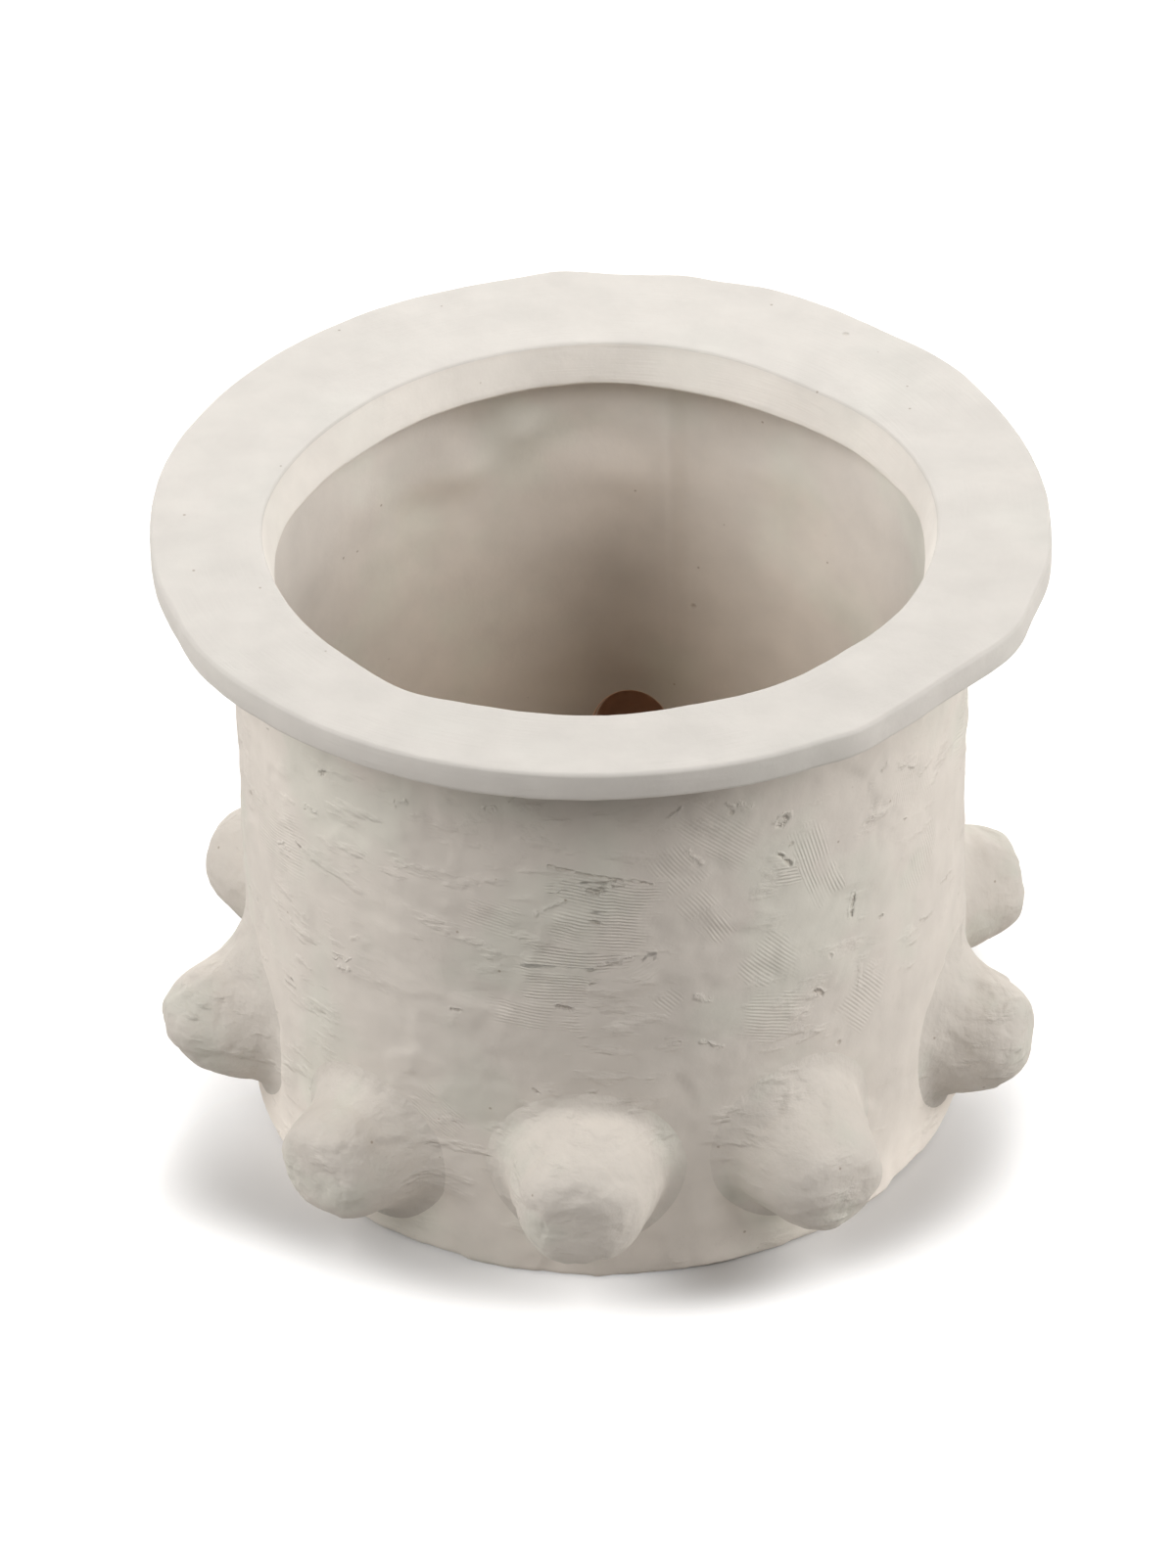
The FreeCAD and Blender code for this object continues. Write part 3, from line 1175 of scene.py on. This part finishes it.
class RingPiece:
    """A piece that is made of rings, of which the last is joined to the first."""

    title: str
    columns: int

    def rings(self, turn: Array) -> list[Array]:
        """The rings, with a vertex at each turn."""
        raise NotImplementedError

    def skin(self) -> dict[str, float]:
        """Inputs of the tree that gives the piece its hand-worked skin."""
        return {"Lump Depth": 0.0, "Ripple Depth": 0.0}

    def build(self, geometry: GeometryParts, clay: Material) -> Piece:
        """Makes the piece.

        Args:
            geometry: the geometry trees.
            clay: its finish.

        Returns:
            The piece.
        """
        rings = self.rings(turns_round(self.columns))
        faces = ring_faces(len(rings), self.columns, True)
        piece = mesh_object(self.title, np.vstack(rings), faces)
        run_tree(piece, geometry.skin, {**self.skin(), "Clay": clay})
        return piece


@dataclass
class PotWall(RingPiece):
    """The bent slab that is the body of the pot, with a hole behind every knob."""

    foot_radius: float
    top_radius: float
    height: float
    bore: Bore
    title: str = "pot_wall"
    columns: int = 480
    outer_step: float = 0.00178
    inner_step: float = 0.0044
    foot_edge: float = 0.003
    seat_depth: float = 0.0006
    thinnest: float = 0.004
    fillet: float = 0.004
    sharp_angle: float = math.radians(50)

    @classmethod
    def of(cls, frame: dict) -> "PotWall":
        """Reads the wall's sizes.

        Args:
            frame: what the loader gave.

        Returns:
            The wall.
        """
        places = node_places(frame, "wall")
        top = places[:, 2].max()
        radii = radii_of(places)
        top_radius = radii[places[:, 2] > top - LEVEL_SLACK].max()
        bore = Bore.of(places, top, Bore(top_radius - cls.thinnest, 0.0))
        return cls(radii.max(), top_radius, top, bore)

    def radius_at(self, height: float) -> float:
        """The mean radius outside at a height."""
        return self.foot_radius + (self.top_radius - self.foot_radius) * height / self.height

    def outer(self, turn: Array, height: float, inset: float = 0.0) -> Array:
        """One ring of the uneven outside.

        Args:
            turn: the turn of each vertex.
            height: the ring's height.
            inset: how far it lies inside the surface.

        Returns:
            One row of x, y and z for each vertex.
        """
        radius = self.radius_at(height)
        swell = sum(dab.at(turn, height, radius) for dab in OUTER_DABS)
        swell = swell + self.fillet * bell(self.height - height, self.fillet)
        return ring(turn, radius + swell - inset, height)

    def inner(self, turn: Array, height: float) -> Array:
        """One ring of the inside about the bore's own centre, with the slab's joint."""
        swell = sum(dab.at(turn, height, self.bore.radius) for dab in INNER_DABS)
        return ring(turn, self.bore.radius + swell, height, self.bore.setting)

    def rings(self, turn: Array) -> list[Array]:
        """The rings of the wall before its holes are cut: up the outside, down the inside.

        Args:
            turn: the turn of each vertex.

        Returns:
            The rings.
        """
        top = self.height + self.seat_depth
        rings = [self.outer(turn, self.foot_edge * (1 - up), self.foot_edge * (1 - across))
                 for across, up in arc(90, 0, 5, closed=False)]
        rings += [self.outer(turn, level)
                  for level in np.arange(self.foot_edge, top, self.outer_step)]
        rings += between(self.outer(turn, top), self.inner(turn, top), (0.0, 0.33, 0.67, 1.0))
        rings += [self.inner(turn, level)
                  for level in np.arange(top - self.inner_step, 0, -self.inner_step)]
        return rings + between(self.inner(turn, 0.0), self.outer(turn, 0.0, self.foot_edge),
                               (0.0, 0.5))

    def skin(self) -> dict[str, float]:
        """Inputs of the skin's tree."""
        return {"Lump Depth": 0.0008, "Lump Size": 0.05, "Ripple Depth": 0.00025,
                "Ripple Size": 0.012, "Facet Depth": 0.0013, "Facet Size": 0.024, "Seed": 2.0}

    def finish(self, wall: Piece, cutters: list[Piece]) -> None:
        """Cuts the hole behind every knob and marks the wall.

        Args:
            wall: the whole wall.
            cutters: the closed shapes to cut with; they are removed.
        """
        for cutter in cutters:
            modifier = wall.modifiers.new(cutter.name, "BOOLEAN")
            modifier.object = cutter
            modifier.operation = "DIFFERENCE"
            modifier.solver = "EXACT"
            modifier.material_mode = "TRANSFER"
        keep_result(wall)
        for cutter in cutters:
            bpy.data.objects.remove(cutter)
        MarkSheet().store(wall.data, self.top_radius)
        wall.data.set_sharp_from_angle(angle=self.sharp_angle)


@dataclass
class RimRing(RingPiece):
    """The flat ring on the wall, with soft edges and a collar inside the wall."""

    radius: float
    top: float
    under: float
    low: float
    mouth: Bore
    seat: Bore
    title: str = "rim"
    columns: int = 512
    edge: float = 0.0015
    swell: float = 0.0009
    lip_swell: float = 0.0002
    under_edge: float = 0.0026
    mouth_edge: float = 0.0012
    low_edge: float = 0.0016
    collar_slope: float = 0.0022
    collar_inset: float = 0.0006
    mouth_shift: float = 0.0002
    collar_shift: float = 0.0012
    wall_gap: float = 0.0012
    seat_gap: float = 0.0003
    headroom: float = 0.0003
    collar_thin: float = 0.0005
    # How far the painted light and shade reach: the collar's slack and the outer edge's width.
    painted_shading_slack: float = 0.001
    painted_shading_edge: float = 0.004
    outer_bumps: tuple[Bump, ...] = bumps(
        (183.0, 30.0, 0.0022), (110.0, 16.0, -0.0014), (136.0, 9.0, -0.0012),
        (151.0, 4.0, -0.0008), (168.0, 3.5, 0.0006), (189.0, 4.0, 0.0006),
        (200.0, 3.5, -0.0006), (213.0, 4.0, 0.0006), (32.0, 4.0, 0.0016), (20.0, 8.0, 0.0008),
        (46.0, 7.0, -0.0016), (63.0, 7.0, 0.0009), (75.0, 6.0, 0.0014), (291.0, 6.0, -0.0009),
        (330.0, 22.0, 0.0004), (273.0, 11.0, -0.0012), (184.0, 4.5, 0.0032),
        (168.0, 5.0, 0.0012), (154.0, 8.0, 0.0026), (202.0, 12.0, 0.0016),
        (226.0, 10.0, 0.0009), (128.0, 9.0, 0.0013), (302.0, 8.0, 0.001),
        (61.0, 6.0, 0.0022), (92.0, 9.0, -0.0002))
    mouth_bumps: tuple[Bump, ...] = bumps(
        (177.0, 20.0, 0.002), (139.0, 13.0, -0.0026), (233.0, 18.0, -0.0014),
        (326.0, 9.0, 0.0028), (15.0, 10.0, -0.0014), (45.0, 8.0, -0.0013),
        (90.0, 26.0, 0.0014), (269.0, 14.0, 0.0009))
    collar_bumps: tuple[Bump, ...] = bumps(
        (181.0, 16.0, 0.0026), (144.0, 16.0, -0.0016), (229.0, 14.0, -0.0028),
        (103.0, 9.0, 0.0014), (326.0, 9.0, 0.002), (247.0, 9.0, -0.0012))
    # Painted light on the collar, painted shade on the outer edge and towards the front.
    collar_painted_light: float = 1.24
    edge_painted_shade: float = 0.95
    front_painted_shade: float = 0.045

    @classmethod
    def of(cls, frame: dict, wall: PotWall) -> "RimRing":
        """Reads the ring's sizes.

        Args:
            frame: what the loader gave.
            wall: the wall that it sits on.

        Returns:
            The ring.
        """
        places = node_places(frame, "rim_ring")
        low, top = places[:, 2].min(), places[:, 2].max()
        limit = Bore(wall.bore.radius - cls.collar_thin, wall.bore.setting)
        mouth = Bore.of(places, low, limit)
        return cls(radii_of(places).max(), top, wall.height, low, mouth, wall.bore)

    def rings(self, turn: Array) -> list[Array]:
        """The ring's rings: out from under it, over its top, down the collar and back.

        Args:
            turn: the turn of each vertex.

        Returns:
            The rings.
        """
        top = self.top - self.headroom
        setting = self.mouth.setting + self.mouth_shift
        low_setting = self.mouth.setting + self.collar_shift
        ahead = low_setting - self.seat.setting
        to_wall = (np.sqrt(self.seat.radius ** 2 - (ahead * np.sin(turn)) ** 2)
                   - ahead * np.cos(turn))
        outer = self.radius + self.swell + wobble(turn, self.outer_bumps)
        under = outer - self.under_edge
        flat = outer - self.edge
        mouth = self.mouth.radius + self.collar_slope + wobble(turn, self.mouth_bumps)
        bend = mouth + self.mouth_edge
        collar = self.mouth.radius - self.collar_inset + wobble(turn, self.collar_bumps)
        collar = np.minimum(collar, to_wall - self.wall_gap)
        low, low_edge = collar + self.low_edge, self.low + self.low_edge
        inner_low = ring(turn, low, self.low, low_setting)
        seat_low = ring(turn, self.seat.radius - self.seat_gap, self.low, self.seat.setting)
        reach = radii_of(seat_low) - radii_of(inner_low)
        behind = np.where(reach[:, None] > LEVEL_SLACK, seat_low, inner_low)
        lifted = np.column_stack([behind[:, :2], np.full(self.columns, self.under)])
        lip_low, lip_high = self.under + self.under_edge, top - self.edge
        return [
            *rounded(turn, under, lip_low, self.under_edge, (-90, 0, 9)),
            *between(ring(turn, outer + self.lip_swell, lip_low),
                     ring(turn, outer + self.lip_swell, lip_high), np.linspace(0, 1, 5)[1:-1]),
            *rounded(turn, flat, lip_high, self.edge, (0, 90, 9)),
            *between(ring(turn, flat, top), ring(turn, bend, top, setting),
                     np.linspace(0, 1, 22)[1:-1]),
            *rounded(turn, bend, top - self.mouth_edge, self.mouth_edge, (90, 180, 9), setting),
            *between(ring(turn, mouth, top - self.mouth_edge, setting),
                     ring(turn, collar, low_edge, low_setting), np.linspace(0, 1, 9)[1:-1]),
            *rounded(turn, low, low_edge, self.low_edge, (180, 270, 6), low_setting),
            *between(inner_low, behind, (0.5, 1.0)),
            *between(lifted, ring(turn, under, self.under), np.linspace(0, 1, 9)[:-1])]

    def skin(self) -> dict[str, float]:
        """Inputs of the skin's tree."""
        return {"Lump Depth": 0.00045, "Lump Size": 0.04, "Ripple Depth": 0.00028,
                "Ripple Size": 0.013, "Seed": 11.0, "Highest": self.top}

    def store_painted_shading(self, mesh: Mesh) -> None:
        """Stores the ring's painted light and shade: painted light on the collar, painted shade
        on its outer edge and towards the front.

        Args:
            mesh: the ring's mesh.
        """
        places = mesh_places(mesh)
        below_top = places[:, 2] < self.top - self.mouth_edge
        radii = radii_of(places, self.mouth.setting)
        collar = below_top & (radii < self.seat.radius + self.painted_shading_slack)
        edge = below_top & (radii_of(places) > self.radius - self.painted_shading_edge)
        painted_shading_level = 1 - self.front_painted_shade * np.cos(turns_of(places))
        painted_shading_level = np.where(collar, self.collar_painted_light, np.where(edge, self.edge_painted_shade, painted_shading_level))
        write_vectors(mesh, "tone", np.repeat(painted_shading_level[:, None], 3, axis=1))


@dataclass
class FloorSlab(RingPiece):
    """The slab inside the foot of the wall, coved at the wall."""

    seat: Bore
    thickness: float
    drain_radius: float
    title: str = "floor"
    columns: int = 256
    edge: float = 0.002
    cove: float = 0.005
    cove_share: float = 0.06
    hole_share: float = 0.06
    wall_gap: float = 0.0004

    @classmethod
    def of(cls, frame: dict, wall: PotWall) -> "FloorSlab":
        """Reads the slab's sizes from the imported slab."""
        places = node_places(frame, "floor_slab")
        return cls(wall.bore, places[:, 2].max(), radii_of(places).min())

    def rings(self, turn: Array) -> list[Array]:
        """The slab's rings: in along its underside, up the drain hole and out on top.

        Args:
            turn: the turn of each vertex.

        Returns:
            The rings.
        """
        top = self.thickness
        hole = ring(turn, self.drain_radius, 0.0)
        rim = ring(turn, self.seat.radius - self.wall_gap, 0.0, self.seat.setting)
        flat_share = 1 - self.cove_share
        coved = [hole + (rim - hole) * (flat_share + self.cove_share * share)
                 + (0, 0, top + self.cove * share ** 2) for share in np.linspace(0, 1, 7)]
        return [
            *between(hole, rim, np.linspace(1, 0, 24)),
            *between(hole, hole + (0, 0, top - self.edge), np.linspace(0, 1, 6)[1:]),
            *(hole + bent for bent in rounded(turn, self.edge, top - self.edge, self.edge,
                                              (180, 90, 6))[1:]),
            *between(hole + (0, 0, top), rim + (0, 0, top),
                     np.linspace(self.hole_share, flat_share - 0.01, 36)),
            *coved]


class PatWay(Enum):
    """Ways in which a pat flattens a knob: x along the wall, y up and z out."""

    END = (0.0, 0.0, 1.0)
    END_UP = (0.0, 0.35, 1.0)
    END_LEFT = (-0.45, 0.0, 1.0)
    UPPER_LEFT = (-0.8, 0.8, 0.5)
    TOP = (0.0, 1.0, 0.35)


@dataclass(frozen=True)
class Hollow:
    """The round-ended hollow that runs from inside the pot into a knob."""

    radius: float = 0.015
    depth: float = 0.025
    rise: float = 0.003
    tilt: float = math.radians(30)
    lip: float = 0.0006
    spare: float = 0.0004
    wall_inside: float = 0.1225
    cut_levels: tuple[float, float] = (0.004, -0.006)
    cut_past: float = 0.001
    cut_end: float = 0.012

    def point(self, around: Array, along: Numbers, radius: float) -> Array:
        """Level-knob places round the hollow's own leaning axis.

        Args:
            around: angles about the axis.
            along: distance out of the wall along the axis, from the ball's centre.
            radius: distance from the axis.

        Returns:
            One row of x, y and z for each angle.
        """
        cos, sin = math.cos(self.tilt), math.sin(self.tilt)
        over = radius * np.sin(around)
        return np.stack([radius * np.cos(around), self.rise - along * sin + over * cos,
                         self.depth - self.radius + along * cos + over * sin], axis=1)

    def start(self, around: Array, outward: float, wall_radius: float) -> Array:
        """How far along its axis the hollow meets a level near the wall's surface.

        Args:
            around: angles about the axis.
            outward: the level, out of the wall.
            wall_radius: the wall's radius there.

        Returns:
            One distance for each angle.
        """
        bulge = (self.radius * np.cos(around)) ** 2 / (2 * wall_radius)
        over = self.radius * np.sin(around) * math.sin(self.tilt)
        return (outward - bulge - (self.depth - self.radius) - over) / math.cos(self.tilt)


@dataclass
class Knob:
    """One stubby knob: where it sits and how its maker left it."""

    node: str
    blunt: float
    flare: float
    pats: tuple[tuple[PatWay, float], ...]
    slant: float = 0.0
    under_flare: float = 0.06
    flare_end: float = 0.35
    buried: float = -0.0032
    cap_share: float = 0.85
    lump_share: float = 0.985
    root_share: float = 1.14
    columns: int = 144
    cutter_columns: int = 48
    turn: float = 0.0
    height: float = 0.0
    reach: float = 0.0
    girth: float = 0.0
    lean: float = 0.0
    wall_radius: float = 0.133
    hollow: Hollow = Hollow()
    cone: Outline = (
        (0.0, 1.0), (0.14, 0.965), (0.27, 0.87), (0.42, 0.775), (0.6, 0.63), (0.78, 0.43),
        (0.89, 0.27), (0.97, 0.14), (1.06, 0.055), (1.18, 0.012), (1.34, -0.02))
    stub: Outline = (
        (0.0, 1.0), (0.33, 0.99), (0.5, 0.955), (0.66, 0.86), (0.78, 0.69), (0.86, 0.46),
        (0.92, 0.28), (0.98, 0.15), (1.06, 0.06), (1.18, 0.012), (1.34, -0.02))

    def read(self, frame: dict, wall: PotWall) -> None:
        """Reads the knob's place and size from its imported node.

        Args:
            frame: what the loader gave.
            wall: the wall that it sits on.
        """
        places = node_places(frame, self.node)
        radii = radii_of(places)
        low, high = places[:, 2].min(), places[:, 2].max()
        self.height = (low + high) / 2
        self.wall_radius = wall.radius_at(self.height)
        out = radii.max() - self.wall_radius
        cap = places[radii > self.wall_radius + self.cap_share * out]
        turns = turns_of(cap)
        turns = (turns - turns[0] + math.pi) % math.tau - math.pi + turns[0]
        self.turn = (turns.min() + turns.max()) / 2
        self.reach = out * self.lump_share
        self.girth = (high - low) / 2 / self.root_share
        self.lean = ((cap[:, 2].min() + cap[:, 2].max()) / 2 - self.height) / self.reach

    def outside(self, around: Array) -> list[Array]:
        """The knob's own rings, from its tip to its root.

        Args:
            around: angles about the knob's axis.

        Returns:
            One array for each ring, on the level knob.
        """
        above = np.sin(around)
        flare = np.where(above > 0, self.flare, self.under_flare) * above
        cone, stub = smooth_path(self.cone, 8), smooth_path(self.stub, 8)
        rings = []
        for from_axis, out in (cone + (stub - cone) * self.blunt)[1:]:
            wide = ramp(out, self.flare_end, 0.0)
            radius = self.girth * from_axis * (1 + wide * wide * (3 - 2 * wide) * flare)
            rings.append(np.stack([radius * np.cos(around), radius * above,
                                   np.full(self.columns, self.reach * out)], axis=1))
        return rings

    def build(self, geometry: GeometryParts, wall: Piece, clay: Material,
              bare: Material) -> Piece:
        """Makes the knob and sets it on the wall.

        Args:
            geometry: the geometry trees.
            wall: the whole wall, before its holes are cut.
            clay: the finish outside.
            bare: the finish of the hollow.

        Returns:
            The knob.
        """
        around = turns_round(self.columns) + math.pi
        rings = self.outside(around)
        skirt, radius = rings[-1], self.hollow.radius
        start = self.hollow.start(around, self.buried, self.wall_radius)
        mouth = self.hollow.point(around, start, radius)
        for share in np.linspace(0, 1, 7)[1:]:
            under = skirt + (mouth - skirt) * share
            under[:, 2] = skirt[:, 2] + (self.buried - skirt[:, 2]) * min(1.0, share * 3)
            rings.append(under)
        solid_rings = len(rings)
        rings += [self.hollow.point(around, start * (1 - share), radius)
                  for share in np.linspace(0, 1, 9)[1:]]
        rings += [self.hollow.point(around, radius * up, radius * across)
                  for across, up in arc(0, 90, 12)[1:-1]]
        end = self.hollow.point(np.zeros(1), radius, 0.0)
        places = np.vstack([*rings, (0.0, 0.0, self.reach), end])
        faces = [face[::-1] for face in ring_faces(len(rings), self.columns, False)]
        tip = len(places) - 2
        last = tip - self.columns
        for column in range(self.columns):
            beside = (column + 1) % self.columns
            faces.append((tip, column, beside))
            faces.append((tip + 1, last + beside, last + column))
        knob = mesh_object(self.node.replace("knob", "clay_knob"), places, faces)
        knob.data.materials.append(bare)
        hollow = np.zeros(len(places), np.float32)
        hollow[solid_rings * self.columns:] = 1.0
        hollow[tip] = 0.0
        knob.data.attributes.new("hollow", "FLOAT", "POINT").data.foreach_set("value", hollow)
        values = {"Wall": wall, "Turn": self.turn, "Height": self.height,
                  "Radius": self.wall_radius, "Lean": self.lean, "Slant": self.slant,
                  "Lump Depth": 0.0013, "Lump Size": 0.022, "Seed": self.turn * 10,
                  "Clay": clay}
        for order, (way, depth) in zip(("First", "Second"), self.pats):
            values |= {order + " Pat": way.value, order + " Depth": depth}
        run_tree(knob, geometry.knob, values)
        return knob

    def cutter(self, bare: Material) -> Piece:
        """Makes the closed shape that cuts this knob's hollow out of the wall.

        Args:
            bare: the finish of the hollow.

        Returns:
            The cutter.
        """
        around = turns_round(self.cutter_columns) + math.pi
        radius, lip = self.hollow.radius + self.hollow.spare, self.hollow.lip
        inside = self.hollow.wall_inside - self.wall_radius
        rows = [(level, radius) for level in self.hollow.cut_levels]
        rows += [(inside - self.hollow.cut_past + lip * (1 - up), radius + lip * (1 - across))
                 for across, up in arc(0, 90, 6)[1:]]
        rows.append((inside - self.hollow.cut_end, radius + lip))
        places = np.vstack([
            self.hollow.point(around, self.hollow.start(around, out, self.wall_radius), wide)
            for out, wide in rows])
        across, rise, out = places.T
        turn = self.turn + across / (1 + out / self.wall_radius) / self.wall_radius
        count = len(around)
        last = (len(rows) - 1) * count
        faces = [face[::-1] for face in ring_faces(len(rows), count, False)]
        faces += [tuple(range(count)), tuple(range(last + count - 1, last - 1, -1))]
        cutter = mesh_object(self.node + "_cutter",
                             ring(turn, self.wall_radius + out, self.height + rise), faces)
        cutter.data.materials.append(bare)
        return cutter


KNOBS = (
    Knob("knob_front", 0.8, -0.04, ((PatWay.END, 0.0335),), -0.03),
    Knob("knob_front_right", 0.95, 0.1, ((PatWay.END, 0.0325), (PatWay.TOP, 0.0275))),
    Knob("knob_right", 0.75, 0.2, ((PatWay.END, 0.031),)),
    Knob("knob_right_rear", 0.85, 0.2, ((PatWay.END, 0.0315),), -0.02),
    Knob("knob_rear_right", 0.6, 0.15, ((PatWay.END_LEFT, 0.031),)),
    Knob("knob_rear", 0.7, 0.1, ((PatWay.END, 0.032),)),
    Knob("knob_rear_left", 0.5, 0.15, ((PatWay.END_UP, 0.031),)),
    Knob("knob_left_rear", 0.6, 0.25, ((PatWay.END, 0.0335),)),
    Knob("knob_left", 0.45, 0.25, ((PatWay.UPPER_LEFT, 0.03),), -0.02),
    Knob("knob_front_left", 1.0, 0.08, ((PatWay.END, 0.03),), -0.07),
)


@dataclass(frozen=True)
class Lamp:
    """A square soft lamp that faces the pot from a turn and a rise, in degrees."""

    name: str
    turn: float
    rise: float
    power: float
    distance: float = 2.2
    size: float = 0.9
    target: tuple[float, float, float] = (0.0, 0.0, 0.13)

    def hang(self) -> None:
        """Adds the lamp to the scene."""
        light = bpy.data.lights.new(self.name, "AREA")
        light.size, light.energy = self.size, self.power
        lamp = linked(self.name, light)
        turn, rise = math.radians(self.turn), math.radians(self.rise)
        way = Vector((math.sin(turn) * math.cos(rise), -math.cos(turn) * math.cos(rise),
                      math.sin(rise)))
        lamp.location = Vector(self.target) + way * self.distance
        lamp.rotation_euler = (-way).to_track_quat("-Z", "Y").to_euler()


LAMPS = (
    Lamp("left_low", -90.0, 20.0, 12.0),
    Lamp("left_high", -90.0, 45.0, 14.0),
    Lamp("right_low", 90.0, 20.0, 20.0),
    Lamp("right_high", 90.0, 45.0, 7.5),
    Lamp("front_left", -45.0, 45.0, 12.5),
    Lamp("front_right", 45.0, 45.0, 12.5),
    Lamp("behind", 180.0, 20.0, 28.0),
)


@dataclass
class Studio:
    """White floor, soft lamps and the camera that took the photograph."""

    focal_px: float = 6000.0
    pitch: float = math.radians(35.981)
    roll: float = math.radians(-1.147)
    camera_place: tuple[float, float, float] = (-0.0059, -1.7501, 1.3949)
    sensor_mm: float = 36.0
    half_floor: float = 3.0
    lift: tuple[float, float] = (0.08, 0.68)
    lift_reach: tuple[float, float] = (0.134, 0.19)
    white: tuple[float, float, float, float] = (1.0, 1.0, 1.0, 1.0)

    def build(self) -> None:
        """Sets up the floor, the light and the camera."""
        self.floor()
        self.world()
        for lamp in LAMPS:
            lamp.hang()
        self.camera()
        bpy.context.scene.view_settings.view_transform = "Standard"

    def floor(self) -> None:
        """A white floor that stays white to the camera and keeps the pot's shadow, with painted
        shadow near the pot.
        """
        corners = np.array([(-1, -1, 0), (1, -1, 0), (1, 1, 0), (-1, 1, 0)])
        floor = mesh_object("studio_floor", corners * self.half_floor, [(0, 1, 2, 3)])
        material = bpy.data.materials.new("white_paper")
        material.use_nodes = True
        graph = Graph(material.node_tree)
        x, y, _ = graph.split(graph.get("ShaderNodeTexCoord", {}, "Object"))
        reach = graph.calc("LENGTH", graph.join(x, y))
        turn = graph.turn(x, y)
        ahead = graph.calc("MAXIMUM", y * -1.0 / reach, 0.0)
        behind = graph.calc("MAXIMUM", y / reach, 0.0)
        beside = graph.calc("ABSOLUTE", x / reach) ** 16.0
        # Painted shadow over the real shadow: the camera-only glow is held back near the pot,
        # further in a lobe at the left and fully at the foot just right of the front.
        deeper = self.lobe(graph, turn, -68.0, 16.0)
        pressed = self.lobe(graph, turn, 17.0, 10.0)
        quicker = ahead ** 3.0 * 0.95 + beside * 1.1 + behind * 1.5 - deeper * 0.42
        start = (ahead ** 8.0 * 0.30 + beside * 0.5 + self.lift[0]) * (1.0 - pressed)
        past = (reach - self.lift_reach[0]) * quicker + reach
        eased = graph.remap(past, *self.lift_reach) ** (deeper * 2.0 + 2.0)
        lift = (eased * (self.lift[1] - start) + start) * graph.remap(reach, 0.11, 0.13)
        strength = graph.calc("MAXIMUM", lift, graph.remap(reach, 0.6, 1.8))
        graph.wire(material.node_tree.nodes["Principled BSDF"], {
            "Base Color": (0.55, 0.535, 0.52, 1.0), "Roughness": 0.9,
            "Specular IOR Level": 0.0, "Emission Color": self.white,
            "Emission Strength": self.seen(graph) * strength})
        floor.data.materials.append(material)

    def lobe(self, graph: Graph, turn: Value, middle: float, half_width: float) -> Value:
        """A soft peak round the pot, from 0 to 1, its middle and half width in degrees."""
        return graph.bell((turn - math.radians(middle)) / math.radians(half_width))

    def seen(self, graph: Graph) -> Value:
        """1 for rays from the camera and mirrored rays, and 0 for the others."""
        return graph.calc("MAXIMUM", *graph.several(
            "ShaderNodeLightPath", {}, ("Is Camera Ray", "Is Glossy Ray")))

    def world(self) -> None:
        """Soft light from all round, and white where the camera sees past the floor."""
        world = bpy.data.worlds.new("white_room")
        bpy.context.scene.world = world
        world.use_nodes = True
        graph = Graph(world.node_tree)
        strength = graph.remap(self.seen(graph), 0.0, 1.0, 0.02, 1.0, "LINEAR")
        graph.wire(world.node_tree.nodes["Background"], {"Strength": strength,
                                                         "Color": self.white})

    def camera(self) -> None:
        """The camera, fitted to the photograph."""
        data = bpy.data.cameras.new("photo_camera")
        data.sensor_fit = "VERTICAL"
        data.sensor_height = self.sensor_mm
        data.lens = self.focal_px * self.sensor_mm / PHOTO_HEIGHT_PX
        camera = linked("photo_camera", data)
        cos, sin = math.cos(self.pitch), math.sin(self.pitch)
        level_right, level_up = Vector((1.0, 0.0, 0.0)), Vector((0.0, sin, cos))
        right = math.cos(self.roll) * level_right + math.sin(self.roll) * level_up
        above = -math.sin(self.roll) * level_right + math.cos(self.roll) * level_up
        axes = Matrix((right, above, Vector((0.0, -cos, sin)))).transposed().to_4x4()
        axes.translation = Vector(self.camera_place)
        camera.matrix_world = axes
        bpy.context.scene.camera = camera


def attach(piece: Piece, node: str) -> None:
    """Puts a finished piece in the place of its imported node.

    Args:
        piece: the finished piece.
        node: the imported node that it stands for.
    """
    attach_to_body(piece, ROOT)
    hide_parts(node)
    triangles = sum(len(face.vertices) - 2 for face in piece.data.polygons)
    LOG.info("%s: %d triangles, stands for %s", piece.name, triangles, node)


def main() -> None:
    """Builds the pot piece by piece, then the studio."""
    logging.basicConfig(level=logging.INFO, format="%(message)s")
    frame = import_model()
    wall_shape = PotWall.of(frame)
    shaders, geometry = ShaderParts(), GeometryParts()
    wall_clay, knob_clay, rim_clay, floor_clay, bare = (
        finish.build(shaders, wall_shape.top_radius)
        for finish in (WALL_FINISH, KNOB_FINISH, RIM_FINISH, FLOOR_FINISH, HOLLOW_FINISH))
    wall = wall_shape.build(geometry, wall_clay)
    cutters = []
    for knob in KNOBS:
        knob.read(frame, wall_shape)
        piece = knob.build(geometry, wall, knob_clay, bare)
        attach(piece, knob.node)
        cutters.append(knob.cutter(bare))
    wall_shape.finish(wall, cutters)
    attach(wall, "wall")
    rim_shape = RimRing.of(frame, wall_shape)
    rim = rim_shape.build(geometry, rim_clay)
    rim_shape.store_painted_shading(rim.data)
    attach(rim, "rim_ring")
    floor = FloorSlab.of(frame, wall_shape).build(geometry, floor_clay)
    attach(floor, "floor_slab")
    Studio().build()


if __name__ == "__main__":
    main()
